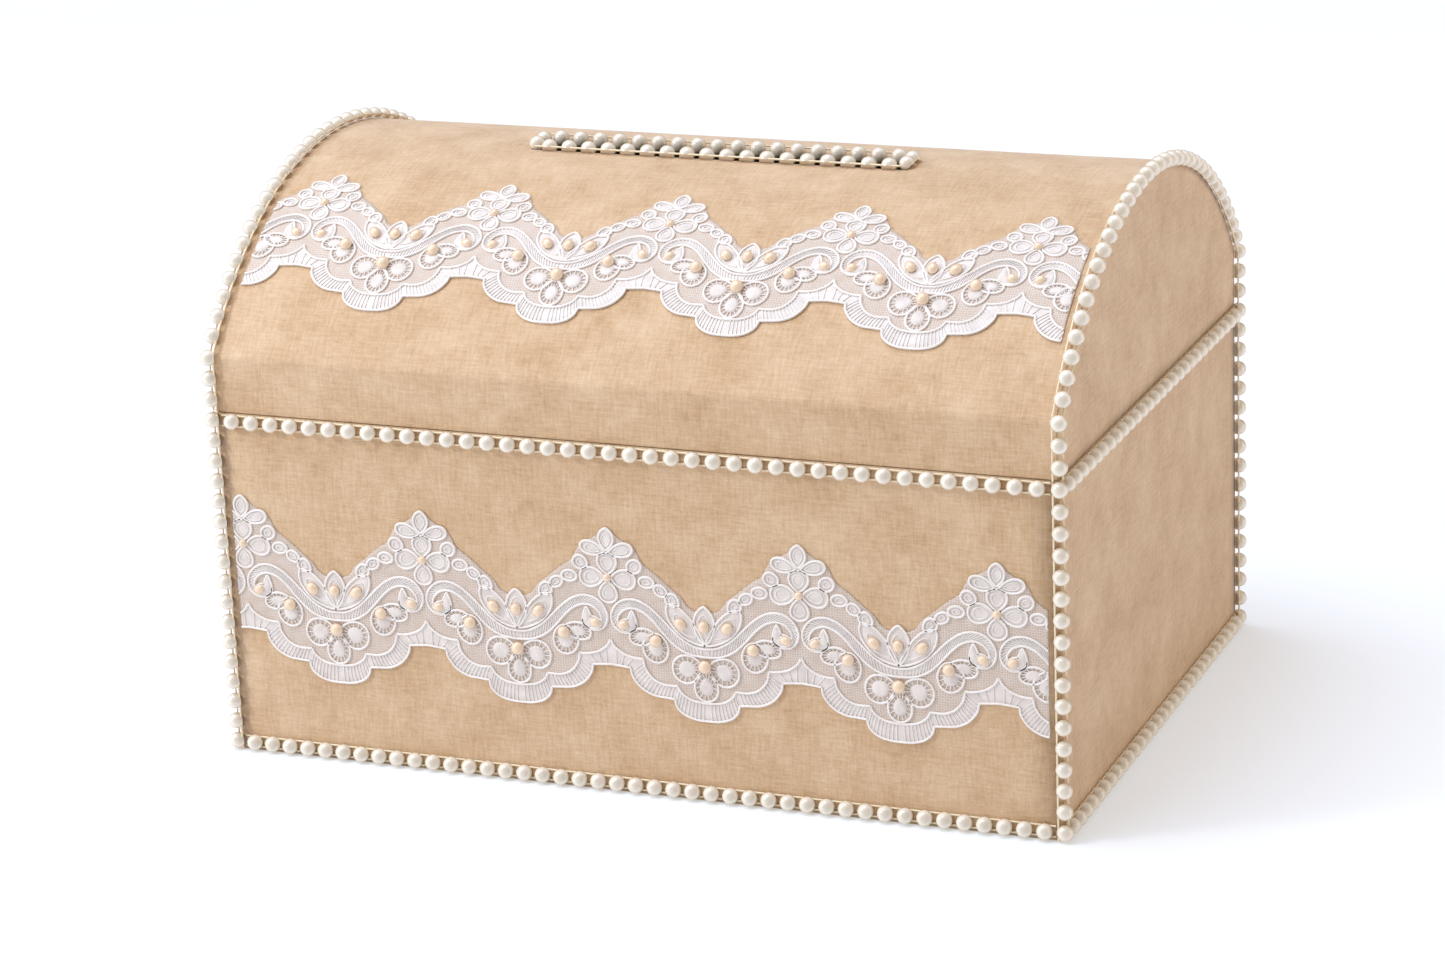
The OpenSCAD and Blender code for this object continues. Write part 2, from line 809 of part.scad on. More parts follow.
underside_felt();
base_floor_board();
base_front_board();
base_back_board();
base_left_board();
base_right_board();
base_cloth();
base_lining_walls();
base_lining_floor();
base_lace_net();
base_lace_embroidery();
base_lace_beads();
foot_pearls_front();
foot_pearls_right();
foot_pearls_back();
foot_pearls_left();
rim_pearls_front();
rim_pearls_right();
rim_pearls_back();
rim_pearls_left();
corner_pearls_front_left();
corner_pearls_front_right();
corner_pearls_back_left();
corner_pearls_back_right();
hinge_base_leaf_left();
hinge_base_leaf_right();
hinge_pin_left();
hinge_pin_right();
hinge_base_rivets();
lid_front_rail();
lid_back_rail();
lid_left_end_board();
lid_right_end_board();
lid_dome_board();
lid_cloth();
lid_cloth_left_end();
lid_cloth_right_end();
lid_lining();
lid_lining_left_end();
lid_lining_right_end();
slot_binding();
lid_lace_net();
lid_lace_embroidery();
lid_lace_beads();
arch_pearls_left();
arch_pearls_right();
slot_pearls_front();
slot_pearls_back();
slot_pearls_ends();
hinge_lid_leaf_left();
hinge_lid_leaf_right();
hinge_lid_rivets();
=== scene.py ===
"""A wedding card box dressed for its portrait: linen, pearl trim, bridal lace, stage and light."""

import logging
import math
from abc import ABC, abstractmethod
from contextlib import contextmanager
from dataclasses import dataclass, field, replace
from enum import Enum
from typing import Any, Callable, Iterable, Iterator, Sequence

import bmesh
import bpy
import numpy as np
from mathutils import Matrix, Quaternion, Vector, noise


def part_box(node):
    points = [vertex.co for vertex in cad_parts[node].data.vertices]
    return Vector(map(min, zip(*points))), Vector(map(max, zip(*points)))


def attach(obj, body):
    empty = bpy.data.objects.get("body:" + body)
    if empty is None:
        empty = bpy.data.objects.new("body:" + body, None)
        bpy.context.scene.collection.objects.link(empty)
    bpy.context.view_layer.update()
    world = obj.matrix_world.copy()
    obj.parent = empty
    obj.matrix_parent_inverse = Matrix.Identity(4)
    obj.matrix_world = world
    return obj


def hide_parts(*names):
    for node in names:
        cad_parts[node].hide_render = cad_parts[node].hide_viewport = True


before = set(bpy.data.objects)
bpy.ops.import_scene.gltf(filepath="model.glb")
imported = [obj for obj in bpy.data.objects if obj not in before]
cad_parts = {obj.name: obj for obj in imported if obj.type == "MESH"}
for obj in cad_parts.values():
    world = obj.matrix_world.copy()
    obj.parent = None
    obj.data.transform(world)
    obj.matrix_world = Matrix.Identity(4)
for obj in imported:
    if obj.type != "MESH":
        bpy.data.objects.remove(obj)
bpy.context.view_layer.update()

LOG = logging.getLogger("card_box")
MM = 0.001
UV_NAME = "cut"
QUARTER, EIGHTH = math.pi / 2, math.pi / 4
SIDES = ((-1, "left"), (1, "right"))
# Length of one band of Blender's wave texture at a scale of 1.
WAVE_BAND = 2 * math.pi / 20
Point = tuple[float, float]
Obj = bpy.types.Object
Node = bpy.types.Node
Tree = bpy.types.NodeTree
Socket = bpy.types.NodeSocket


class Body(Enum):
    """The moving bodies of the frame."""

    BASE = "base"
    LID = "lid"


class Slot(Enum):
    """The record's finishes that modelled pieces take."""

    LINEN = "linen_cloth"
    NET = "lace_net"
    CORD = "lace_cord"
    BEAD = "bead"
    PEARL = "pearl"


# ---------- sizes ----------


@dataclass(frozen=True)
class BoxSizes:
    """Sizes of the box over its linen, in metres.

    Attributes:
        width: Across the front.
        depth: From front to back.
        floor: Height of the linen's lower edge.
        seam: Height of the parting line.
        crease: Height of the fold where the arch starts.
        top: Height of the top of the arch.
        reveal: How far the linen stops short of the parting line.
        linen: Thickness of the linen.
        slot_length: Length of the card slot.
        slot_width: Width of the card slot.
        slot_y: Place of the card slot's middle from front to back.
    """

    width: float
    depth: float
    floor: float
    seam: float
    crease: float
    top: float
    reveal: float
    linen: float
    slot_length: float
    slot_width: float
    slot_y: float

    @classmethod
    def from_frame(cls, band: float = 24.2 * MM) -> "BoxSizes":
        """Reads the sizes from the linen nodes of the frame.

        Args:
            band: Height of the lid's straight band, from the parting line to the crease.

        Returns:
            The sizes.
        """
        low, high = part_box("base_cloth")
        lid_low, lid_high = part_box("lid_cloth")
        slot_low, slot_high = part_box("slot_binding")
        seam = (high.z + lid_low.z) / 2
        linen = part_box("lid_cloth_right_end")[1].x - lid_high.x
        return cls(
            width=high.x - low.x,
            depth=high.y - low.y,
            floor=low.z,
            seam=seam,
            crease=seam + band,
            top=lid_high.z,
            reveal=lid_low.z - seam,
            linen=linen,
            slot_length=slot_high.x - slot_low.x - 2 * linen,
            slot_width=slot_high.y - slot_low.y - 2 * linen,
            slot_y=(slot_low.y + slot_high.y) / 2,
        )

    @property
    def lid_edge(self) -> float:
        """Height of the lower edge of the lid's linen."""
        return self.seam + self.reveal

    @property
    def arch_radius(self) -> float:
        """Radius of the arch."""
        rise = self.top - self.crease
        return ((self.depth / 2) ** 2 + rise**2) / (2 * rise)

    @property
    def arch_centre(self) -> float:
        """Height of the arch's centre."""
        return self.top - self.arch_radius

    @property
    def half_arch(self) -> float:
        """Half of the angle that the arch spans, in radians."""
        return math.asin(self.depth / 2 / self.arch_radius)

    @property
    def arch_length(self) -> float:
        """Length of the arch from crease to crease."""
        return 2 * self.half_arch * self.arch_radius

    def arch_height(self, y: float) -> float:
        """Height of the linen on the arch at a place from front to back."""
        return self.arch_centre + math.sqrt(self.arch_radius**2 - y**2)


# ---------- workbench ----------


def pick(*objs: Obj) -> None:
    """Selects these objects only and makes the first one active."""
    bpy.ops.object.select_all(action="DESELECT")
    for obj in objs:
        obj.select_set(True)
    bpy.context.view_layer.objects.active = objs[0]


def primitive(kind: str, **settings: Any) -> Obj:
    """Adds a primitive, the only thing selected, with its place and size in its mesh."""
    bpy.ops.object.select_all(action="DESELECT")
    getattr(bpy.ops.mesh, f"primitive_{kind}_add")(**settings)
    bpy.ops.object.transform_apply(location=True, rotation=True, scale=True)
    return bpy.context.active_object


@contextmanager
def editing(obj: Obj) -> Iterator[None]:
    """Edits one mesh, all of it selected at the start."""
    pick(obj)
    bpy.ops.object.mode_set(mode="EDIT")
    bpy.ops.mesh.select_all(action="SELECT")
    yield
    bpy.ops.object.mode_set(mode="OBJECT")


def choose(obj: Obj, parts: str, wanted: Callable[[Any], bool]) -> None:
    """While a mesh is edited, selects only some of its faces or edges.

    Args:
        obj: The object that is edited.
        parts: Either "faces" or "edges".
        wanted: Whether a face or edge is to be selected.
    """
    bpy.ops.mesh.select_all(action="DESELECT")
    for part in getattr(bmesh.from_edit_mesh(obj.data), parts):
        if wanted(part):
            part.select_set(True)
    bmesh.update_edit_mesh(obj.data)


def modify(obj: Obj, kind: str, **settings: Any) -> Obj:
    """Adds a modifier and applies it.

    Args:
        obj: The object to change.
        kind: Blender's name of the modifier.
        **settings: Values to set on the modifier.

    Returns:
        The same object.
    """
    pick(obj)
    modifier = obj.modifiers.new(kind.lower(), kind)
    for key, value in settings.items():
        setattr(modifier, key, value)
    bpy.ops.object.modifier_apply(modifier=modifier.name)
    return obj


def join(objs: Sequence[Obj], name: str) -> Obj:
    """Joins objects into the first one and names it."""
    pick(*objs)
    if len(objs) > 1:
        bpy.ops.object.join()
    objs[0].name = objs[0].data.name = name
    return objs[0]


def scatter(model: Obj, frames: Iterable[Matrix], name: str) -> Obj:
    """Copies a model to every frame, each copy with its own mesh, and joins the copies.

    Args:
        model: The object to copy.
        frames: Place and turn of each copy.
        name: Name of the joined object.

    Returns:
        The joined object.
    """
    copies = []
    for place in frames:
        copy = model.copy()
        copy.data = model.data.copy()
        bpy.context.collection.objects.link(copy)
        copy.data.transform(place)
        copies.append(copy)
    return join(copies, name)


def discard(obj: Obj) -> None:
    """Removes a model that has served its turn."""
    mesh = obj.data
    bpy.data.objects.remove(obj)
    bpy.data.meshes.remove(mesh)


def tubes(
    name: str, paths: Sequence[np.ndarray], radius: float, closed: bool = False, sides: int = 1
) -> Obj:
    """Runs a round cord along each path and makes the cords one mesh.

    Args:
        name: Name of the object.
        paths: Lines of points in metres.
        radius: Radius of the cord.
        closed: Whether each path returns to its start.
        sides: Bevel resolution of the cord's section.

    Returns:
        A mesh object with smooth shading.
    """
    curve = bpy.data.curves.new(name, "CURVE")
    curve.dimensions = "3D"
    curve.bevel_depth = radius
    curve.bevel_resolution = sides
    curve.use_fill_caps = not closed
    for path in paths:
        spline = curve.splines.new("POLY")
        spline.points.add(len(path) - 1)
        spline.points.foreach_set("co", np.c_[path, np.ones(len(path))].ravel())
        spline.use_cyclic_u = closed
        spline.use_smooth = True
    obj = bpy.data.objects.new(name, curve)
    bpy.context.collection.objects.link(obj)
    pick(obj)
    bpy.ops.object.convert(target="MESH")
    return bpy.context.view_layer.objects.active


def surface(name: str, points: np.ndarray, faces: Sequence[Sequence[int]]) -> Obj:
    """Makes a smooth mesh object.

    Args:
        name: Name of the object.
        points: Points in metres.
        faces: Numbers of the points of each face.

    Returns:
        The new object.
    """
    mesh = bpy.data.meshes.new(name)
    mesh.from_pydata([tuple(p) for p in points], [], [tuple(f) for f in faces])
    mesh.validate()
    mesh.shade_smooth()
    obj = bpy.data.objects.new(name, mesh)
    bpy.context.collection.objects.link(obj)
    return obj


def grid_faces(rows: int, columns: int, closed: bool = False) -> list[tuple[int, ...]]:
    """Joins the points of a grid, listed row by row, into faces.

    Args:
        rows: Number of rows.
        columns: Number of points in a row.
        closed: Whether each row closes into a ring.

    Returns:
        The numbers of the points of each face.
    """
    return [
        (i * columns + j, i * columns + (j + 1) % columns,
         (i + 1) * columns + (j + 1) % columns, (i + 1) * columns + j)
        for i in range(rows - 1)
        for j in range(columns if closed else columns - 1)
    ]


def grid(columns: int, rows: int) -> tuple[Obj, np.ndarray, np.ndarray]:
    """Adds a flat grid to be shaped.

    Args:
        columns: Number of vertices along X.
        rows: Number of vertices along Y.

    Returns:
        The object, and the column and the row of each vertex.
    """
    obj = primitive("grid", x_subdivisions=columns - 1, y_subdivisions=rows - 1, size=2)
    share = (coordinates(obj)[:, :2] + 1) / 2
    column, row = np.rint(share * (columns - 1, rows - 1)).astype(int).T
    return obj, column, row


def lay_uv(obj: Obj, flat: np.ndarray) -> None:
    """Stores where each vertex lies on the flat cut, in metres, as the UV map."""
    layer = obj.data.uv_layers.get(UV_NAME) or obj.data.uv_layers.new(name=UV_NAME)
    loops = np.zeros(len(obj.data.loops), np.int32)
    obj.data.loops.foreach_get("vertex_index", loops)
    layer.data.foreach_set("uv", flat[loops].astype(np.float32).ravel())


def coordinates(obj: Obj, kind: str = "co") -> np.ndarray:
    """The places, or with "normal" the normals, of a mesh's vertices."""
    out = np.zeros(len(obj.data.vertices) * 3, np.float32)
    obj.data.vertices.foreach_get(kind, out)
    return out.reshape(-1, 3).astype(float)


def reshape(obj: Obj, points: np.ndarray) -> None:
    """Moves the vertices of a mesh."""
    obj.data.vertices.foreach_set("co", points.astype(np.float32).ravel())
    obj.data.update()


def length_of(line: np.ndarray) -> float:
    """Length of a line of points."""
    return float(np.linalg.norm(np.diff(line, axis=0), axis=1).sum())


def spaced(line: np.ndarray, count: int) -> np.ndarray:
    """The same line with a given number of even points."""
    at = np.r_[0, np.cumsum(np.linalg.norm(np.diff(line, axis=0), axis=1))]
    want = np.linspace(0, at[-1], count)
    return np.stack([np.interp(want, at, line[:, k]) for k in range(line.shape[1])], axis=1)


def smooth_path(points: Sequence[Point], step: float = 1.0) -> np.ndarray:
    """Draws an even curve through given points.

    Args:
        points: Points that the curve passes through.
        step: Distance between the points of the result.

    Returns:
        Points along a Catmull-Rom curve.
    """
    p = np.array(points, float)
    p = np.vstack([2 * p[0] - p[1], p, 2 * p[-1] - p[-2]])
    fine = []
    for i in range(1, len(p) - 2):
        t = np.linspace(0, 1, 16, endpoint=False)[:, None]
        a, b, c, d = p[i - 1 : i + 3]
        fine.append(
            0.5 * (2 * b + (c - a) * t + (2 * a - 5 * b + 4 * c - d) * t**2
                   + (3 * b - a - 3 * c + d) * t**3)
        )
    line = np.vstack([*fine, p[-2:-1]])
    return spaced(line, max(2, round(length_of(line) / step) + 1))


# ---------- finishes ----------


def linear(hex_colour: str) -> tuple[float, float, float, float]:
    """Turns an sRGB hex colour into the linear values that shaders take."""
    parts = [int(hex_colour[i : i + 2], 16) / 255 for i in (1, 3, 5)]
    r, g, b = (c / 12.92 if c <= 0.04045 else ((c + 0.055) / 1.055) ** 2.4 for c in parts)
    return r, g, b, 1.0


def feed(node: Node, inputs: dict[Any, Any]) -> None:
    """Sets a node's inputs, each to a constant or linked from a socket."""
    for key, value in inputs.items():
        if isinstance(value, Socket):
            node.id_data.links.new(value, node.inputs[key])
        else:
            node.inputs[key].default_value = value


def add_node(
    tree: Tree,
    kind: str,
    inputs: dict[Any, Any] | None = None,
    output: str | int = 0,
    ramp: Sequence[tuple[float, str]] = (),
    **settings: Any,
) -> Socket:
    """Adds a node with its settings, its constants and the links into it.

    Args:
        tree: The node tree.
        kind: Node type without its ShaderNode prefix.
        inputs: Input names or numbers, each with a constant or a socket to link from.
        output: Name or number of the output that is wanted.
        ramp: Places and hex colours of a colour ramp.
        **settings: Values to set on the node.

    Returns:
        The wanted output of the new node.
    """
    made = tree.nodes.new(f"ShaderNode{kind}")
    for key, value in settings.items():
        setattr(made, key, value)
    feed(made, inputs or {})
    if ramp:
        elements = made.color_ramp.elements
        while len(elements) < len(ramp):
            elements.new(0.5)
        for element, (place, colour) in zip(elements, ramp):
            element.position, element.color = place, linear(colour)
    return made.outputs[output]


class Finish(ABC):
    """A finish that becomes a material once, when it is first asked for."""

    name: str

    def material(self) -> bpy.types.Material:
        """The Blender material of this finish."""
        found = bpy.data.materials.get(self.name)
        if found is None:
            found = bpy.data.materials.new(self.name)
            found.use_nodes = True
            tree = found.node_tree
            feed(tree.nodes["Principled BSDF"], self.weave(tree))
        return found

    @abstractmethod
    def weave(self, tree: Tree) -> dict[str, Any]:
        """Builds the nodes of the pattern.

        Args:
            tree: The material's node tree.

        Returns:
            The shader's inputs, each a constant or the socket of a node.
        """


@dataclass(frozen=True)
class Linen(Finish):
    """Plain-woven linen, dyed champagne and glued to board.

    Slubbed threads give short light and dark streaks along both threads, uneven dye and glue
    give soft blotches, and loose fibre gives a dry sheen. The threads of such cloth lie
    0.4 mm apart; they are drawn at 0.8 mm so that they show.
    """

    name: str = "champagne_linen_plain_weave"
    light: str = "#e1c4a2"
    middle: str = "#d0af8a"
    dark: str = "#b7926b"
    thread: float = 0.8 * MM
    slub_length: float = 9 * MM
    blotch: float = 26 * MM
    fleck: float = 1.3 * MM
    relief: float = 0.15 * MM

    def weave(self, tree: Tree) -> dict[str, Any]:
        """Crosses two sets of slubbed threads over soft blotches."""
        cut = add_node(tree, "UVMap", uv_map=UV_NAME)
        across, along = 1 / (1.6 * self.thread), 1 / self.slub_length
        pairs = []
        for direction, scale in (("X", (across, along, 1.0)), ("Y", (along, across, 1.0))):
            stretched = add_node(tree, "Mapping", {"Vector": cut, "Scale": scale})
            pairs.append((
                add_node(
                    tree, "TexWave",
                    {"Vector": cut, "Scale": WAVE_BAND / self.thread, "Distortion": 1.6,
                     "Detail": 2.0, "Detail Scale": 0.35},
                    "Fac", bands_direction=direction,
                ),
                add_node(tree, "TexNoise", {"Vector": stretched, "Scale": 1.0, "Detail": 2.0,
                                            "Roughness": 0.6}),
            ))
        threads, slubs = (
            add_node(tree, "Math", {0: first, 1: second}, operation="ADD")
            for first, second in zip(*pairs)
        )
        blotches, flecks = (
            add_node(tree, "TexNoise", {"Vector": cut, "Scale": 1 / size, "Detail": detail,
                                        "Roughness": roughness})
            for size, detail, roughness in ((self.blotch, 5.0, 0.62), (self.fleck, 2.0, 0.7))
        )
        tone: Any = 0.05
        for part, share in ((slubs, 0.30), (blotches, 0.55), (flecks, 0.22), (threads, 0.05)):
            tone = add_node(tree, "Math", {0: part, 1: share, 2: tone}, operation="MULTIPLY_ADD")
        height = add_node(tree, "Math", {0: slubs, 1: 0.8, 2: threads}, operation="MULTIPLY_ADD")
        ramp = [(0.55, self.dark), (0.76, self.middle), (0.95, self.light)]
        return {
            "Base Color": add_node(tree, "ValToRGB", {"Fac": tone}, ramp=ramp),
            "Normal": add_node(
                tree, "Bump", {"Strength": 0.35, "Distance": self.relief, "Height": height}
            ),
            "Roughness": 0.88, "Sheen Weight": 0.35, "Sheen Roughness": 0.45,
            "Sheen Tint": linear("#ffffff"), "Specular IOR Level": 0.25,
        }


@dataclass(frozen=True)
class Grained(Finish):
    """A dull material whose colour drifts between two tones and whose surface has a grain.

    Attributes:
        name: The material's common name.
        light: Lighter tone.
        dark: Darker tone.
        grain: Size of the grain in metres.
        drift: Size of the colour patches in metres.
        roughness: Roughness of the surface.
        relief: Height of the grain in metres.
        sheen: Strength of the fuzz's sheen.
        specular: Specular level.
    """

    name: str
    light: str
    dark: str
    grain: float
    drift: float
    roughness: float
    relief: float
    sheen: float = 0.0
    specular: float = 0.5

    def weave(self, tree: Tree) -> dict[str, Any]:
        """Mixes grain and drift into colour and bump."""
        place = add_node(tree, "TexCoord", output="Object")
        grain = add_node(tree, "TexNoise", {"Vector": place, "Scale": 1 / self.grain,
                                            "Detail": 3.0, "Roughness": 0.65})
        drift = add_node(tree, "TexNoise", {"Vector": place, "Scale": 1 / self.drift,
                                            "Detail": 3.0})
        tone = add_node(tree, "Math", {0: grain, 1: 0.5, 2: drift}, operation="MULTIPLY_ADD")
        ramp = [(0.5, self.dark), (1.0, self.light)]
        return {
            "Base Color": add_node(tree, "ValToRGB", {"Fac": tone}, ramp=ramp),
            "Normal": add_node(
                tree, "Bump", {"Strength": 0.6, "Distance": self.relief, "Height": grain}
            ),
            "Roughness": self.roughness, "Sheen Weight": self.sheen,
            "Specular IOR Level": self.specular,
        }


@dataclass(frozen=True)
class Nacre(Finish):
    """Moulded acrylic with a pearl lacquer.

    The centre of each pearl is painted a little greyer, a painted reflection of the dark room in
    front of it, and its rim is painted warmer and darker, painted shade; both follow the facing
    to the view. The clear coat keeps the highlights small and bright.
    """

    name: str
    # Colour at the centre of a pearl: a painted reflection of the dark room in front.
    centre_reflection: str
    face: str
    # Colour at the rim: painted shade.
    rim: str
    coat: float = 0.9

    def weave(self, tree: Tree) -> dict[str, Any]:
        """Shifts the colour with the facing, for a painted reflection at the centre and painted
        shade at the rim, and with a slow drift from pearl to pearl.
        """
        place = add_node(tree, "TexCoord", output="Object")
        drift = add_node(tree, "TexNoise", {"Vector": place, "Scale": 1 / (9 * MM),
                                            "Detail": 1.0})
        facing = add_node(tree, "LayerWeight", {"Blend": 0.35}, "Facing")
        share = add_node(tree, "Math", {0: drift, 1: 0.25, 2: facing}, operation="MULTIPLY_ADD")
        # Painted reflection at the centre, the pearl's own colour on the face, painted shade at
        # the rim.
        ramp = [(0.14, self.centre_reflection), (0.36, self.face), (1.0, self.rim)]
        return {
            "Base Color": add_node(tree, "ValToRGB", {"Fac": share}, ramp=ramp),
            "Roughness": 0.3, "Coat Weight": self.coat, "Coat Roughness": 0.1,
            "Subsurface Weight": 0.05, "Subsurface Scale": 2 * MM,
        }


@dataclass(frozen=True)
class Net(Finish):
    """Machine-made nylon bobbinet glued over the linen.

    The six-sided meshes let the linen show as small warm dots between grey threads. Such
    meshes are 0.7 mm across and are drawn at 1.1 mm so that they show.
    """

    name: str = "nylon_bobbinet"
    thread: str = "#e0d5cc"
    gap: str = "#c6af9b"
    mesh: float = 1.1 * MM

    def weave(self, tree: Tree) -> dict[str, Any]:
        """Draws the threads as the borders of small cells."""
        cut = add_node(tree, "UVMap", uv_map=UV_NAME)
        border = add_node(
            tree, "TexVoronoi", {"Vector": cut, "Scale": 1 / self.mesh, "Randomness": 0.55},
            "Distance", feature="DISTANCE_TO_EDGE", voronoi_dimensions="2D",
        )
        drift = add_node(tree, "TexNoise", {"Vector": cut, "Scale": 1 / (5 * MM), "Detail": 4.0})
        tone = add_node(tree, "Math", {0: drift, 1: 0.25, 2: border}, operation="MULTIPLY_ADD")
        ramp = [(0.12, self.thread), (0.42, self.gap)]
        return {
            "Base Color": add_node(tree, "ValToRGB", {"Fac": tone}, ramp=ramp),
            "Normal": add_node(
                tree, "Bump", {"Strength": 0.5, "Distance": 0.2 * MM, "Height": border},
                invert=True,
            ),
            "Roughness": 0.7, "Sheen Weight": 0.2,
        }


@dataclass(frozen=True)
class Brass(Finish):
    """Stamped brass sheet, tumbled and lacquered.

    Fine scratches blur its reflections along the leaves, and the lacquer keeps it yellow.
    """

    name: str = "lacquered_brass"
    bright: str = "#d9b468"
    worn: str = "#b98f47"

    def weave(self, tree: Tree) -> dict[str, Any]:
        """Stretches a noise along the sheet for the scratches."""
        place = add_node(tree, "TexCoord", output="Object")
        drawn = add_node(tree, "Mapping", {"Vector": place, "Scale": (120.0, 2500.0, 2500.0)})
        scratches = add_node(tree, "TexNoise", {"Vector": drawn, "Scale": 1.0, "Detail": 3.0})
        ramp = [(0.3, self.worn), (0.6, self.bright)]
        return {
            "Base Color": add_node(tree, "ValToRGB", {"Fac": scratches}, ramp=ramp),
            "Roughness": add_node(
                tree, "MapRange", {"Value": scratches, "To Min": 0.22, "To Max": 0.42}
            ),
            "Normal": add_node(
                tree, "Bump", {"Strength": 0.2, "Distance": 0.02 * MM, "Height": scratches}
            ),
            "Metallic": 1.0, "Coat Weight": 0.3, "Coat Roughness": 0.1,
        }


@dataclass(frozen=True)
class LitTable(Finish):
    """White acrylic of a photographer's table, lit a little from below to keep shadows pale."""

    name: str = "white_acrylic_table"
    glow: float = 0.34

    def weave(self, tree: Tree) -> dict[str, Any]:
        """Lets the sheet glow evenly, with a faint drift of tone."""
        place = add_node(tree, "TexCoord", output="Object")
        drift = add_node(tree, "TexNoise", {"Vector": place, "Scale": 2.0})
        ramp = [(0.3, "#ccd0d6"), (0.7, "#ced2d8")]
        return {
            "Base Color": add_node(tree, "ValToRGB", {"Fac": drift}, ramp=ramp),
            "Roughness": 0.9, "Specular IOR Level": 0.1,
            "Emission Color": linear("#ffffff"), "Emission Strength": self.glow,
        }


LINEN = Linen()
# Ivory acrylic pearls: lacquered, glossy and slightly warm; the greyer centre colour is a painted
# reflection and the tan rim colour is painted shade.
IVORY_PEARL = Nacre("ivory_acrylic_pearl", centre_reflection="#dfd5c4", face="#f6eedf", rim="#c6a97e")
# The same acrylic on the thin moulded rails, where it looks a little more yellow; the darker rim
# colour is painted shade.
IVORY_RAIL = Nacre("ivory_acrylic_rail", centre_reflection="#f3e2c2", face="#f3e2c2", rim="#d8ba8b", coat=0.3)
# Small blush pearls sewn on the lace, with a painted reflection at the centre and painted shade at
# the rim.
BLUSH_BEAD = Nacre("blush_acrylic_bead", centre_reflection="#f0d6b8", face="#f4dcc0", rim="#d3a67c", coat=0.7)
NET = Net()
# Rayon cord couched on the lace: soft, white, a little silky.
RAYON_CORD = Grained("white_rayon_cord", "#fbf6f1", "#efe7e1", 0.5 * MM, 6 * MM, 0.55,
                     0.12 * MM, sheen=0.3)
# Satin stitch between the cords: flatter and greyer than the cord.
SATIN_STITCH = Grained("white_rayon_satin_stitch", "#efe6df", "#d6cbc3", 0.45 * MM, 5 * MM, 0.5,
                       0.15 * MM, sheen=0.3)
# Grey-brown chipboard: dull, with fibre specks.
CHIPBOARD = Grained("grey_chipboard", "#b39d80", "#8d7858", 0.7 * MM, 12 * MM, 0.95, 0.1 * MM,
                    specular=0.2)
# Uncoated cream paper: almost flat, with a faint tooth.
LINING = Grained("cream_lining_paper", "#f4ecdd", "#e6dbc7", 0.6 * MM, 25 * MM, 0.85, 0.05 * MM,
                 specular=0.3)
# Pressed wool felt: fuzzy and light-drinking.
FELT = Grained("pressed_wool_felt", "#c4ae91", "#9c866a", 1.2 * MM, 15 * MM, 1.0, 0.3 * MM,
               sheen=0.5, specular=0.1)
BRASS = Brass()


def dress(
    obj: Obj, body: Body, slot: Slot, finishes: Sequence[Finish], *stands_for: str
) -> Obj:
    """Gives a finished piece its materials and its body, and hides the nodes that it replaces.

    Args:
        obj: The piece.
        body: The body that it rides on.
        slot: The record's finish; not used.
        finishes: Finishes in the order of the mesh's material slots.
        *stands_for: CAD nodes that it replaces.

    Returns:
        The same piece.
    """
    if len(obj.data.materials) != len(finishes):
        for finish in finishes:
            obj.data.materials.append(finish.material())
    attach(obj, body.value)
    if stands_for:
        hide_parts(*stands_for)
    LOG.info("%s: %d faces, rides on %s", obj.name, len(obj.data.polygons), body.value)
    return obj


# ---------- linen ----------


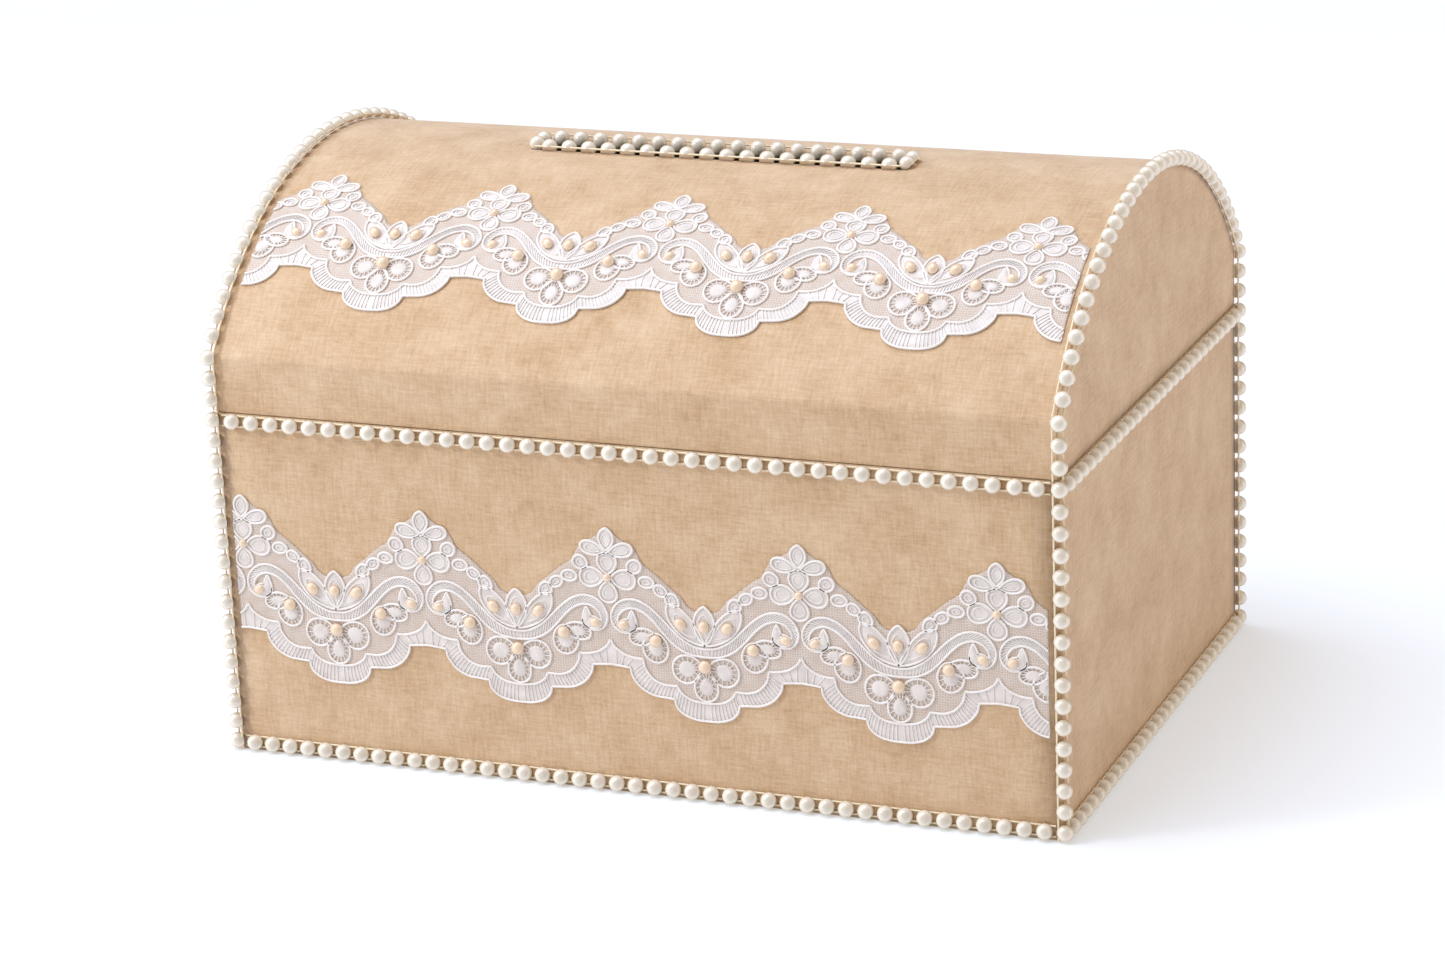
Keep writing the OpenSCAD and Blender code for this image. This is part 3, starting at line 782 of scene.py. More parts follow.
@dataclass(frozen=True)
class LinenCover:
    """The linen glued over the boards: a wrap round the base, one over the lid and two ends.

    Attributes:
        box: Sizes of the box.
        fold: Half the length over which the crease turns.
        ripple: Depth of the soft unevenness where glue holds the linen less well.
        wide: Number of wide patches of that unevenness to a metre.
        small: Number of small patches to a metre.
        slot_depth: How far the linen is turned down through the slot.
        uv_shift: Distance on the cloth from the front's cut to the ends' cuts.
    """

    box: BoxSizes
    fold: float = 1.3 * MM
    ripple: float = 0.2 * MM
    wide: float = 22.0
    small: float = 70.0
    slot_depth: float = 3.5 * MM
    uv_shift: float = 0.31

    def build(self) -> None:
        """Builds every piece of linen."""
        self.base_wrap()
        self.lid_wrap()
        for side, word in SIDES:
            self.lid_end(side, word)

    def relax(self, obj: Obj) -> None:
        """Presses the surface in by a fraction of a millimetre, in soft patches."""
        points = coordinates(obj)
        depth = np.array([
            0.5 + 0.5 * noise.noise(Vector(p) * self.wide)
            + 0.22 * noise.noise(Vector(p) * self.small)
            for p in points
        ])
        pressed = (self.ripple * depth.clip(0, 1))[:, None]
        reshape(obj, points - coordinates(obj, "normal") * pressed)

    def glue_on(self, obj: Obj, name: str, body: Body, *stands_for: str) -> None:
        """Gives a shaped piece of linen its thickness, its name and its finish."""
        modify(obj, "SOLIDIFY", thickness=self.box.linen, offset=-1)
        obj.data.shade_smooth()
        obj.name = name
        dress(obj, body, Slot.LINEN, [LINEN], *stands_for)

    def base_wrap(self) -> None:
        """One strip of linen round the four walls of the base."""
        box = self.box
        height = box.seam - box.reveal - box.floor
        obj = primitive("cube", size=1, location=(0, 0, box.floor + height / 2),
                        scale=(box.width, box.depth, height))
        with editing(obj):
            choose(obj, "faces", lambda face: abs(face.normal.z) > 0.5)
            bpy.ops.mesh.delete(type="ONLY_FACE")
            bpy.ops.mesh.select_all(action="SELECT")
            bpy.ops.mesh.subdivide(number_cuts=24)
        points = coordinates(obj)
        front = np.abs(points[:, 1]) > box.depth / 2 - MM
        lay_uv(obj, np.where(front[:, None], points[:, [0, 2]],
                             points[:, [1, 2]] + (self.uv_shift, 0)))
        self.relax(obj)
        self.glue_on(obj, "base_linen_wrap", Body.BASE, "base_cloth")

    def profile(self) -> tuple[np.ndarray, np.ndarray]:
        """The end view of the lid's linen.

        Returns:
            Distances along the linen from its front edge, and the (y, z) at each.
        """
        box = self.box
        radius = box.arch_radius
        band = box.crease - box.lid_edge
        total = 2 * band + box.arch_length
        slot_edges = [
            band + (box.half_arch + math.asin(y / radius)) * radius
            for y in (box.slot_y - box.slot_width / 2, box.slot_y + box.slot_width / 2)
        ]
        near = 6 * MM
        marks = [0, band - near, band + near, *slot_edges, total - band - near,
                 total - band + near, total]
        steps = [5, 1, 3.5, 3.5, 3.5, 1, 5]
        at = np.concatenate([
            np.linspace(a, b, round((b - a) / step / MM) + 1)[:-1]
            for a, b, step in zip(marks, marks[1:], steps)
        ] + [[total]])

        def sharp(s: np.ndarray) -> np.ndarray:
            """Points on the unrounded profile."""
            angle = (s - band) / radius - box.half_arch
            walls = [s < band, s > total - band]
            y = np.select(walls, [-box.depth / 2, box.depth / 2], radius * np.sin(angle))
            z = np.select(walls, [box.lid_edge + s, box.lid_edge + total - s],
                          box.arch_centre + radius * np.cos(angle))
            return np.stack([y, z], axis=-1)

        off = np.minimum(np.abs(at - band), np.abs(at - total + band))
        inner = np.clip(1 - off / (2 * self.fold), 0, 1)
        spread = np.linspace(-self.fold, self.fold, 9)
        return at, np.stack([sharp(at + w * inner) for w in spread]).mean(axis=0)

    def lid_wrap(self) -> None:
        """One piece of linen from the front edge of the lid over the arch to the back."""
        box = self.box
        at, line = self.profile()
        edge, half = box.slot_length / 2, box.width / 2 - box.linen
        xs = np.concatenate([
            np.linspace(-half, -edge, 19)[:-1], np.linspace(-edge, edge, 39)[:-1],
            np.linspace(edge, half, 19),
        ])
        obj, column, row = grid(len(xs), len(at))
        reshape(obj, np.column_stack([xs[column], line[row]]))
        lay_uv(obj, np.column_stack([xs[column], box.seam + at[row]]))
        self.relax(obj)
        above = box.crease + 20 * MM

        def in_slot(face: bmesh.types.BMFace) -> bool:
            """Whether a face lies over the slot."""
            x, y, z = face.calc_center_median()
            return abs(x) < edge and z > above and abs(y - box.slot_y) < box.slot_width / 2

        def on_rim(side: bmesh.types.BMEdge) -> bool:
            """Whether an edge belongs to the rim of the slot."""
            x, _, z = (side.verts[0].co + side.verts[1].co) / 2
            return side.is_boundary and abs(x) < edge + MM and z > above

        with editing(obj):
            choose(obj, "faces", in_slot)
            bpy.ops.mesh.delete(type="FACE")
            choose(obj, "edges", on_rim)
            bpy.ops.mesh.extrude_region_move(
                TRANSFORM_OT_translate={"value": (0, 0, -self.slot_depth)}
            )
        self.glue_on(obj, "lid_linen_wrap", Body.LID, "lid_cloth", "slot_binding")
        bpy.ops.object.shade_smooth_by_angle(angle=math.radians(50))

    def lid_end(self, side: int, word: str) -> None:
        """An arched panel of linen on one end of the lid."""
        box = self.box
        low, half = box.lid_edge, box.half_arch
        ys = np.sin(np.linspace(-QUARTER, QUARTER, 61)) * box.depth / 2
        shares = np.linspace(0, 1, 19)
        obj, column, row = grid(len(ys), len(shares))
        tops = np.array([box.arch_height(y) for y in ys])
        z = low + shares[row] * (tops[column] - low)
        x = np.full(len(z), side * box.width / 2)
        reshape(obj, np.column_stack([x, side * ys[column], z]))
        lay_uv(obj, np.column_stack([ys[column] + self.uv_shift, z]))
        self.relax(obj)
        self.glue_on(obj, f"lid_linen_end_{word}", Body.LID, f"lid_cloth_{word}_end")


# ---------- pearl trim ----------


@dataclass
class PearlTrim:
    """Flat-backed pearls moulded on pairs of thin rails, glued along every edge.

    Attributes:
        box: Sizes of the box.
        radius: Radius of a pearl.
        sunk: Distance from a pearl's centre to its flat back.
        pitch: Spacing on the rim, corners, arches and slot.
        foot_pitch: Spacing along the bottom edges.
        glue: Thickness of the glue.
        rail_offset: Distance of each rail from the middle of the strip.
        rail_radius: Radius of a rail, which is also its height above the surface.
        foot_gap: Distance from the ground to the bottom row.
        rim_rise: How far the rim's pearls stand up past the parting line.
        pair_gap: Half the gap between the two pearls at an end of the slot.
        slot_margin: Least distance from those pearls to the slot's long edges.
        gap: Gap between strips that meet.
        hinge_x: Place of each hinge from the middle.
        hinge_zone: Half the length that a hinge keeps free.
    """

    box: BoxSizes
    radius: float = 3.5 * MM
    sunk: float = 1.75 * MM
    pitch: float = 9.1 * MM
    foot_pitch: float = 8.5 * MM
    glue: float = 0.05 * MM
    rail_offset: float = 2.3 * MM
    rail_radius: float = 0.45 * MM
    foot_gap: float = 0.5 * MM
    rim_rise: float = 0.2 * MM
    pair_gap: float = 0.2 * MM
    slot_margin: float = 0.5 * MM
    gap: float = 0.4 * MM
    hinge_x: float = 110 * MM
    hinge_zone: float = 21.6 * MM
    pearl: Obj = field(init=False)

    @property
    def corner_offset(self) -> float:
        """How far a corner strip's pearls stand out along each wall."""
        return (self.sunk + self.glue) / math.sqrt(2)

    @property
    def reach(self) -> float:
        """How far a corner strip keeps the next strip's rails away."""
        return self.radius - self.corner_offset + self.gap

    @property
    def foot_z(self) -> float:
        """Height of the bottom row."""
        return self.radius + self.foot_gap

    @property
    def rim_z(self) -> float:
        """Height of the row at the rim of the base."""
        return self.box.seam - self.radius + self.rim_rise

    def build(self) -> None:
        """Builds every strip of pearls."""
        self.pearl = self.model_pearl()
        for quarter, word in enumerate(("front", "right", "back", "left")):
            self.side_row("foot", word, quarter, self.foot_z, self.foot_pitch)
            self.side_row("rim", word, quarter, self.rim_z, self.pitch)
        for side_x, word_x in SIDES:
            for side_y, word_y in ((-1, "front"), (1, "back")):
                self.corner(side_x, side_y, f"{word_y}_{word_x}")
            self.arch(side_x, word_x)
        self.slot_rows()
        discard(self.pearl)

    def model_pearl(self) -> Obj:
        """One pearl: a ball cut flat at its back."""
        obj = primitive("uv_sphere", segments=14, ring_count=9, radius=self.radius,
                        location=(0, 0, self.sunk))
        with editing(obj):
            bpy.ops.mesh.bisect(
                plane_co=(0, 0, 0), plane_no=(0, 0, 1), clear_inner=True, use_fill=True
            )
        bpy.ops.object.shade_smooth_by_angle(angle=math.radians(45))
        obj.data.materials.append(IVORY_PEARL.material())
        return obj

    def strip(
        self, level: str, word: str, body: Body, pearls: Sequence[Matrix],
        runs: Sequence[Sequence[Matrix]],
    ) -> None:
        """Builds one strip.

        Args:
            level: What the strip trims, the first word of its name.
            word: The side that it is on, the last word of its name.
            body: Body that it rides on.
            pearls: A frame for each pearl: X along the strip, Z out of the surface.
            runs: Frames along each pair of rails.
        """
        name = f"{level}_strip_{word}"
        balls = scatter(self.pearl, pearls, name)
        paths = [
            np.array([
                place @ Vector((0, side * self.rail_offset, self.rail_radius)) for place in run
            ])
            for run in runs for side in (-1, 1)
        ]
        rails = tubes(f"{name}_rails", paths, self.rail_radius)
        rails.data.materials.append(IVORY_RAIL.material())
        dress(join([balls, rails], name), body, Slot.PEARL, [IVORY_PEARL, IVORY_RAIL],
              f"{level}_pearls_{word}")

    def along(self, stand: Matrix, places: Iterable[float]) -> list[Matrix]:
        """Frames at places along a stand, raised by the thickness of the glue."""
        return [stand @ Matrix.Translation((x, 0, self.glue)) for x in places]

    def side_row(self, level: str, word: str, quarter: int, z: float, pitch: float) -> None:
        """A row along one side of the base, cut round the hinges at the back of the rim.

        Args:
            level: Either "foot" or "rim".
            word: The side.
            quarter: Quarter turns from the front to the side.
            z: Height of the row.
            pitch: Spacing of the pearls.
        """
        half_length, half_depth = self.box.width / 2, self.box.depth / 2
        if quarter % 2:
            half_length, half_depth = half_depth, half_length
        stand = (
            Matrix.Rotation(quarter * QUARTER, 4, "Z")
            @ Matrix.Translation((0, -half_depth, z))
            @ Matrix.Rotation(QUARTER, 4, "X")
        )
        between = 2 * (half_length + self.corner_offset)
        count = round(between / pitch)
        places = [i * between / count - between / 2 for i in range(1, count)]
        end, free = half_length - self.reach, self.hinge_zone
        spans = [(-end, end)]
        if (level, word) == ("rim", "back"):
            places = [x for x in places if abs(abs(x) - self.hinge_x) > free + self.radius]
            spans = [(-end, -self.hinge_x - free), (free - self.hinge_x, self.hinge_x - free),
                     (self.hinge_x + free, end)]
        self.strip(level, word, Body.BASE, self.along(stand, places),
                   [self.along(stand, span) for span in spans])

    def corner(self, side_x: int, side_y: int, word: str) -> None:
        """A strip up one corner of the base, facing out at 45 degrees."""
        box = self.box
        stand = (
            Matrix.Translation((side_x * box.width / 2, side_y * box.depth / 2, 0))
            @ Matrix.Rotation(math.atan2(side_y, side_x) - math.pi, 4, "Z")
            @ Matrix.Rotation(-QUARTER, 4, "Y")
        )
        count = round((self.rim_z - self.foot_z) / self.pitch)
        places = np.linspace(self.foot_z, self.rim_z, count + 1)
        self.strip("corner", word, Body.BASE, self.along(stand, places),
                   [self.along(stand, (self.foot_gap, box.seam - box.reveal))])

    def arch(self, side: int, word: str) -> None:
        """A strip over one end of the lid, from rim to rim."""
        box = self.box
        band = box.crease - self.rim_z
        total = box.arch_length + 2 * band
        count = round(total / self.pitch)

        def at(s: float) -> Matrix:
            """A frame on the end edge at a distance from the front rim pearl."""
            tilt = box.half_arch - (s - band) / box.arch_radius
            y = -box.arch_radius * math.sin(tilt)
            z = box.arch_centre + box.arch_radius * math.cos(tilt)
            if s < band:
                y, z, tilt = -box.depth / 2, self.rim_z + s, QUARTER
            elif s > total - band:
                y, z, tilt = box.depth / 2, self.rim_z + total - s, -QUARTER
            stand = (
                Matrix.Translation((side * box.width / 2, y, z))
                @ Matrix.Rotation(tilt, 4, "X")
                @ Matrix.Rotation(side * EIGHTH, 4, "Y")
                @ Matrix.Rotation(QUARTER, 4, "Z")
            )
            return self.along(stand, [0])[0]

        start = box.lid_edge - self.rim_z
        self.strip("arch", word, Body.LID, [at(i * total / count) for i in range(1, count)],
                   [[at(s) for s in np.linspace(start, total - start, 121)]])

    def slot_rows(self) -> None:
        """Two rows that lean over the slot, and a pair of pearls at each of its ends."""
        box = self.box
        row = box.slot_length - 2 * (self.corner_offset + 2 * self.radius)
        count = round(row / self.pitch)
        end = box.slot_length / 2 - self.reach
        for side, word in ((-1, "front"), (1, "back")):
            y = box.slot_y + side * box.slot_width / 2
            stand = (
                Matrix.Translation((0, y, box.arch_height(y)))
                @ Matrix.Rotation(side * EIGHTH, 4, "X")
            )
            self.strip("slot", word, Body.LID,
                       self.along(stand, np.linspace(-row / 2, row / 2, count + 1)),
                       [self.along(stand, (-end, end))])
        half = box.slot_width / 2
        step = min(self.radius + self.pair_gap, half - self.radius - self.slot_margin)
        end = half - self.reach
        pearls, runs = [], []
        for side, _ in SIDES:
            stand = (
                Matrix.Translation((side * box.slot_length / 2, box.slot_y,
                                    box.arch_height(box.slot_y)))
                @ Matrix.Rotation(-math.asin(box.slot_y / box.arch_radius), 4, "X")
                @ Matrix.Rotation(-side * EIGHTH, 4, "Y")
                @ Matrix.Rotation(QUARTER, 4, "Z")
            )
            pearls += self.along(stand, (-step, step))
            runs.append(self.along(stand, (-end, end)))
        self.strip("slot", "ends", Body.LID, pearls, runs)


# ---------- lace ----------
# A lace is drawn flat, in millimetres: its lowest scallop on y = 0, a peak at x = 0 and the
# valleys half a repeat either side.


class Stitch(Enum):
    """How a petal is worked.

    Each holds the share of the petal that satin stitch fills, how far the satin bulges in
    millimetres, and the size and number of points of an inner loop of thread, if it has one.
    """

    RING = (0.95, 0.2, 0.45, 12)
    VEINED = (0.98, 0.25, 0.58, 16)
    OPEN = (0.6, 0.9, 0, 0)
    SOLID = (0.95, 1.1, 0, 0)


RING, VEINED, OPEN, SOLID = Stitch


@dataclass(frozen=True)
class Petal:
    """A petal outlined in cord.

    Attributes:
        x: Place of its base.
        y: Height of its base.
        angle: Direction from base to tip, in degrees.
        length: Length from base to tip.
        width: Greatest width.
        stitch: How its inside is worked.
        base: 0.5 for a round base and up to 1 for a pointed one.
        tip: 0.5 for a round tip and up to 1 for a pointed one.
        curl: Sideways bend of the tip, as a share of the length.
    """

    x: float
    y: float
    angle: float
    length: float
    width: float
    stitch: Stitch
    base: float = 0.5
    tip: float = 0.5
    curl: float = 0.0

    def mirrored(self) -> "Petal":
        """The same petal on the other side of the peak."""
        return replace(self, x=-self.x, angle=180 - self.angle, curl=-self.curl)

    def outline(self, share: float = 1.0, count: int = 22) -> np.ndarray:
        """Draws the edge of the petal.

        Args:
            share: Share of its size to which it is shrunk about its middle.
            count: Number of points.

        Returns:
            Points round the petal.
        """
        t = np.linspace(0, 2 * math.pi, count, endpoint=False)
        s = (1 - np.cos(t)) / 2
        widest = self.base / (self.base + self.tip)
        top = widest**self.base * (1 - widest) ** self.tip
        across = share * self.width / 2 * s**self.base * (1 - s) ** self.tip / top
        # The petal shrinks towards a point a little on the side of its wider end.
        middle = 0.45 + 0.1 * widest
        s = middle + share * (s - middle)
        across = across * np.sign(np.sin(t)) + self.curl * self.length * s**2
        along = self.length * s
        a = math.radians(self.angle)
        return np.column_stack([
            self.x + along * math.cos(a) - across * math.sin(a),
            self.y + along * math.sin(a) + across * math.cos(a),
        ])


@dataclass(frozen=True)
class Ribbon:
    """A band of ladder stitch between two corded edges."""

    outer: Sequence[Point]
    inner: Sequence[Point]

    def mirrored(self) -> "Ribbon":
        """The same band on the other side of the peak."""
        return Ribbon([(-x, y) for x, y in self.outer], [(-x, y) for x, y in self.inner])

    def rungs(self, pitch: float) -> tuple[np.ndarray, np.ndarray]:
        """Even points on the outer and on the inner edge, about a pitch apart."""
        edges = smooth_path(self.outer), smooth_path(self.inner)
        count = max(3, round(length_of(edges[0]) / pitch))
        return spaced(edges[0], count), spaced(edges[1], count)


@dataclass(frozen=True)
class LaceBead:
    """A bead sewn on the lace, with a radius and a stretch along its angle."""

    x: float
    y: float
    radius: float = 2.0
    stretch: float = 1.0
    angle: float = 0.0

    def mirrored(self) -> "LaceBead":
        """The same bead on the other side of the peak."""
        return replace(self, x=-self.x, angle=180 - self.angle)


def both_sides(drawn: Iterable[Any]) -> list[Any]:
    """Each drawn thing and its mirror image on the other side of the peak."""
    return [copy for item in drawn for copy in (item, item.mirrored())]


@dataclass(frozen=True)
class LaceDesign:
    """One repeat of the lace, drawn 84 mm wide and 80.5 mm high."""

    repeat: float = 84.0
    height: float = 80.5
    # On the axis of the peak: the top petal of the sprig, then the upright petals of a flower.
    peak_petals: tuple[Petal, ...] = (
        Petal(0, 70.6, 90, 9.6, 6.6, VEINED, 0.85, 0.7),
        Petal(0, 60.2, 90, 9.4, 8.6, VEINED, 0.8, 0.5),
        Petal(0, 57.4, 270, 9.4, 8.0, VEINED, 0.8, 0.5),
    )
    # On the right of the peak, and mirrored to its left.
    side_petals: tuple[Petal, ...] = (
        Petal(0.7, 69.6, 14, 11.2, 5.8, VEINED, 0.8, 0.5),
        Petal(1.4, 58.9, -3, 11.0, 8.4, VEINED, 0.75, 0.5),
        Petal(9.0, 63.2, 25, 6.6, 5.8, RING),
        Petal(13.8, 58.4, -2, 6.8, 4.7, RING),
        Petal(20.6, 56.6, -30, 6.2, 4.5, RING),
        Petal(25.8, 53.2, -35, 6.6, 5.4, RING, 0.5, 0.75),
        Petal(3.9, 38.4, 4, 8.2, 5.2, SOLID),
        Petal(8.8, 37.4, 50, 7.0, 4.6, SOLID, 0.5, 0.75, 0.55),
        Petal(20.6, 34.8, 183, 12.0, 7.4, OPEN, 0.6, 0.5, 0.05),
        Petal(21.4, 36.2, 257, 12.6, 11.4, OPEN, 0.55, 0.5, 0.06),
    )
    # Round the axis of the valley: a fan above the wave and a flower below it.
    valley_petals: tuple[Petal, ...] = (
        Petal(42, 33.0, 142, 22.6, 8.8, VEINED, 0.9, 0.6, -0.12),
        Petal(42, 33.0, 38, 22.6, 8.8, VEINED, 0.9, 0.6, 0.12),
        Petal(42, 33.0, 90, 17.0, 9.2, VEINED, 0.9, 0.75),
        Petal(40.4, 24.2, 197, 13.4, 12.2, OPEN, 0.62, 0.5),
        Petal(43.6, 24.2, -17, 13.4, 12.2, OPEN, 0.62, 0.5),
        Petal(42, 21.8, 270, 13.2, 10.4, OPEN, 0.62, 0.5),
    )
    axis_beads: tuple[LaceBead, ...] = (
        LaceBead(0, 58.9, 1.9), LaceBead(42, 41.4, 2.4, 1.1, 90),
        LaceBead(31.8, 41.6, 2.3, 1.3, 135), LaceBead(52.2, 41.6, 2.3, 1.3, 45),
        LaceBead(42, 24.2, 2.9),
    )
    side_beads: tuple[LaceBead, ...] = (
        LaceBead(6.2, 38.9, 2.0, 1.25, 20), LaceBead(20.6, 33.4, 2.7),
    )
    wave: Ribbon = Ribbon(
        outer=[(42, 31.6), (37, 32.3), (31, 35.6), (26, 40.3), (21, 45.2), (16, 48.8),
               (11, 50.3), (6, 49.4), (2.4, 46.4), (0.8, 42.2), (1.7, 38.4), (4.4, 35.9),
               (7.8, 35.4), (10.9, 36.9)],
        inner=[(42, 28.0), (35, 28.8), (29, 31.8), (24, 36.4), (19.6, 41.4), (15.2, 45.0),
               (10.8, 46.4), (7.0, 45.6), (4.6, 43.4), (3.7, 41.0), (4.2, 39.0), (5.6, 37.8),
               (7.6, 37.4), (9.2, 38.0)],
    )
    border: tuple[Ribbon, ...] = (
        Ribbon(outer=[(0, 21.0), (4.5, 20.6), (8.4, 20.2)],
               inner=[(0, 32.0), (1.9, 28.8), (6, 26.0), (10.5, 24.8), (14.2, 24.6)]),
        Ribbon(outer=[(8.4, 20.2), (9.3, 16.4), (12.8, 12.0), (18, 9.3), (24, 8.6), (27.6, 8.3)],
               inner=[(14.2, 24.6), (15.2, 20.4), (18.4, 16.4), (23, 14.3), (29.2, 14.2)]),
        Ribbon(outer=[(27.6, 8.3), (28.7, 4.7), (32, 1.8), (36.8, 0.3), (42, 0)],
               inner=[(29.2, 14.2), (31, 11.2), (35.6, 8.6), (42, 7.8)]),
    )
    net_top: tuple[Point, ...] = (
        (0, 80.5), (2.5, 78.5), (5, 76.3), (12.5, 71.5), (15.5, 66), (21, 62), (27, 57),
        (32, 53), (35, 49), (42, 46),
    )

    @property
    def petals(self) -> list[Petal]:
        """All petals of one repeat."""
        return [*self.valley_petals, *self.peak_petals, *both_sides(self.side_petals)]

    @property
    def ribbons(self) -> list[Ribbon]:
        """All ladder-stitched bands of one repeat."""
        return both_sides([self.wave, *self.border])


class Lay(ABC):
    """How a flat drawing of lace is laid on the box."""

    @abstractmethod
    def place(self, flat: np.ndarray) -> np.ndarray:
        """Takes (x, y, height) on the flat lace to the place on the box."""


@dataclass(frozen=True)
class FlatLay(Lay):
    """On the front wall of the base, a distance above the ground."""

    box: BoxSizes
    bottom: float

    def place(self, flat: np.ndarray) -> np.ndarray:
        """Stands the lace up against the wall."""
        x, y, h = flat.T
        return np.column_stack([x, -self.box.depth / 2 - h, self.bottom + y])


@dataclass(frozen=True)
class ArchLay(Lay):
    """Bent over the front of the arch, a distance along it from the crease."""

    box: BoxSizes
    bottom: float

    def place(self, flat: np.ndarray) -> np.ndarray:
        """Bends the lace round the arch, its height along the radius."""
        x, y, h = flat.T
        angle = (self.bottom + y) / self.box.arch_radius - self.box.half_arch
        r = self.box.arch_radius + h
        return np.column_stack([x, r * np.sin(angle), self.box.arch_centre + r * np.cos(angle)])


@dataclass(frozen=True)
class LaceBand:
    """A band of corded bridal lace: net, cord, satin stitch and beads.

    Attributes:
        word: First word of the names of its pieces, its CAD nodes and the linen under it.
        body: Body that it rides on.
        lay: How it lies on the box.
        repeat: Width of a repeat, in metres.
        height: Height of the band, in metres.
        middle: Place of the middle peak.
        half_length: Half the length of the cut band.
        design: The drawing.
        net_thickness: Thickness of the net.
        cord_radius: Radius of the outlining cord.
        thread_radius: Radius of the stitches between cords.
        fray: Number of waves of the net's uneven edge to a metre.
        repeats: The repeats that may reach into the cut band, counted from the middle peak.
    """

    word: str
    body: Body
    lay: Lay
    repeat: float
    height: float
    middle: float
    half_length: float
    design: LaceDesign = LaceDesign()
    net_thickness: float = 0.3 * MM
    cord_radius: float = 0.52 * MM
    thread_radius: float = 0.2 * MM
    fray: float = 900.0
    repeats: range = range(-3, 4)

    def build(self) -> None:
        """Builds the four layers of the band."""
        net, area = self.net()
        cords, satin, beads = self.cords(), self.satin(), self.beads()
        node = f"{self.word}_lace"
        dress(cords, self.body, Slot.CORD, [RAYON_CORD], f"{node}_embroidery")
        dress(satin, self.body, Slot.CORD, [SATIN_STITCH])
        dress(beads, self.body, Slot.BEAD, [BLUSH_BEAD], f"{node}_beads")
        dress(net, self.body, Slot.NET, [NET], f"{node}_net")

    def to_band(self, drawn: np.ndarray, i: int, height: float) -> np.ndarray:
        """Puts drawn points on the band.

        Args:
            drawn: Points of the drawing, in millimetres.
            i: Number of the repeat, counted from the middle peak.
            height: Height above the linen, in metres.

        Returns:
            The points (x, y, height) in metres.
        """
        return np.column_stack([
            self.middle + i * self.repeat + drawn[:, 0] * self.repeat / self.design.repeat,
            drawn[:, 1] * self.height / self.design.height,
            np.full(len(drawn), height),
        ])

    def shown(self, path: np.ndarray) -> bool:
        """Whether a line reaches into the cut band."""
        return float(np.abs(path[:, 0]).min()) < self.half_length

    def cut_and_lay(self, obj: Obj) -> Obj:
        """Cuts a flat mesh off at both ends of the band and lays it on the box."""
        with editing(obj):
            for side in (-1, 1):
                bpy.ops.mesh.select_all(action="SELECT")
                bpy.ops.mesh.bisect(
                    plane_co=(side * self.half_length, 0, 0), plane_no=(side, 0, 0),
                    clear_outer=True, use_fill=True,
                )
        reshape(obj, self.lay.place(coordinates(obj)))
        return obj

    def net(self, rows: int = 29) -> tuple[Obj, float]:
        """The net between the scallops and the peaks, a sheet with soft uneven edges.

        Args:
            rows: Number of points from the lower to the upper edge.

        Returns:
            The net, and its flat area.
        """
        drawn = self.design
        low_line = np.vstack([smooth_path(ribbon.outer, 0.6) for ribbon in drawn.border])
        low_line = low_line[np.argsort(low_line[:, 0])]
        high_line = smooth_path(drawn.net_top, 0.8)
        xs = np.arange(-self.half_length, self.half_length + 1e-9, MM)
        half = self.repeat / 2
        from_peak = np.abs((xs - self.middle + half) % self.repeat - half)
        from_peak = from_peak * drawn.repeat / self.repeat
        fray = np.array([noise.noise(Vector((x * self.fray, 3.0, 0))) for x in xs])
        tall = self.height / drawn.height
        low = (np.interp(from_peak, *low_line.T) - 0.5 + 0.2 * fray) * tall
        high = (np.interp(from_peak, *high_line.T) + 0.5 * fray) * tall
        y = low + np.linspace(0, 1, rows)[:, None] * (high - low)
        points = np.column_stack([
            np.tile(xs, rows), y.ravel(), np.full(y.size, self.net_thickness)
        ])
        obj = surface(f"{self.word}_net", points, grid_faces(rows, len(xs)))
        lay_uv(obj, points[:, :2])
        reshape(obj, self.lay.place(points))
        modify(obj, "SOLIDIFY", thickness=self.net_thickness * 0.9, offset=-1)
        return obj, float(np.trapz(high - low, xs))

    def cords(self, spokes: int = 15, pitch: float = 1.7) -> Obj:
        """Every cord and stitch, as tubes.

        Args:
            spokes: Number of stitches round an open petal.
            pitch: Spacing of the stitches of a ladder, in millimetres of the drawing.

        Returns:
            All cord and thread as one piece.
        """
        cord_loops, cord_lines, stitch_loops, stitches = [], [], [], []
        lift = self.net_thickness + 0.7 * self.cord_radius
        for i in self.repeats:
            for petal in self.design.petals:
                cord_loops.append(self.to_band(petal.outline(), i, lift))
                _, _, loop, count = petal.stitch.value
                if loop:
                    stitch_loops.append(self.to_band(petal.outline(loop, count), i, lift))
                if petal.stitch is OPEN:
                    rim, core = (
                        self.to_band(petal.outline(share, spokes), i, lift)
                        for share in (0.98, 0.55)
                    )
                    stitches += [np.array(pair) for pair in zip(rim, core)]
            for ribbon in self.design.ribbons:
                cord_lines += [
                    self.to_band(smooth_path(edge), i, lift)
                    for edge in (ribbon.outer, ribbon.inner)
                ]
                rungs = list(zip(*ribbon.rungs(pitch)))[1:-1]
                stitches += [self.to_band(np.array(pair), i, lift) for pair in rungs]
        cord, thread = self.cord_radius, self.thread_radius
        parts = [
            tubes(name, [path for path in paths if self.shown(path)], *shape)
            for name, paths, *shape in (
                ("cord_loops", cord_loops, cord, True),
                ("cord_lines", cord_lines, cord),
                ("stitch_loops", stitch_loops, thread * 1.3, True, 0),
                ("stitches", stitches, thread, False, 0),
            )
        ]
        return self.cut_and_lay(join(parts, f"{self.word}_cording"))

    def satin(self, around: int = 18, across: int = 5, pitch: float = 1.2) -> Obj:
        """Satin stitch inside the petals and the ladder-stitched bands.

        Args:
            around: Number of points round a petal.
            across: Number of points across a ladder-stitched band.
            pitch: Spacing of the points along such a band, in millimetres of the drawing.

        Returns:
            All satin stitch as one piece.
        """
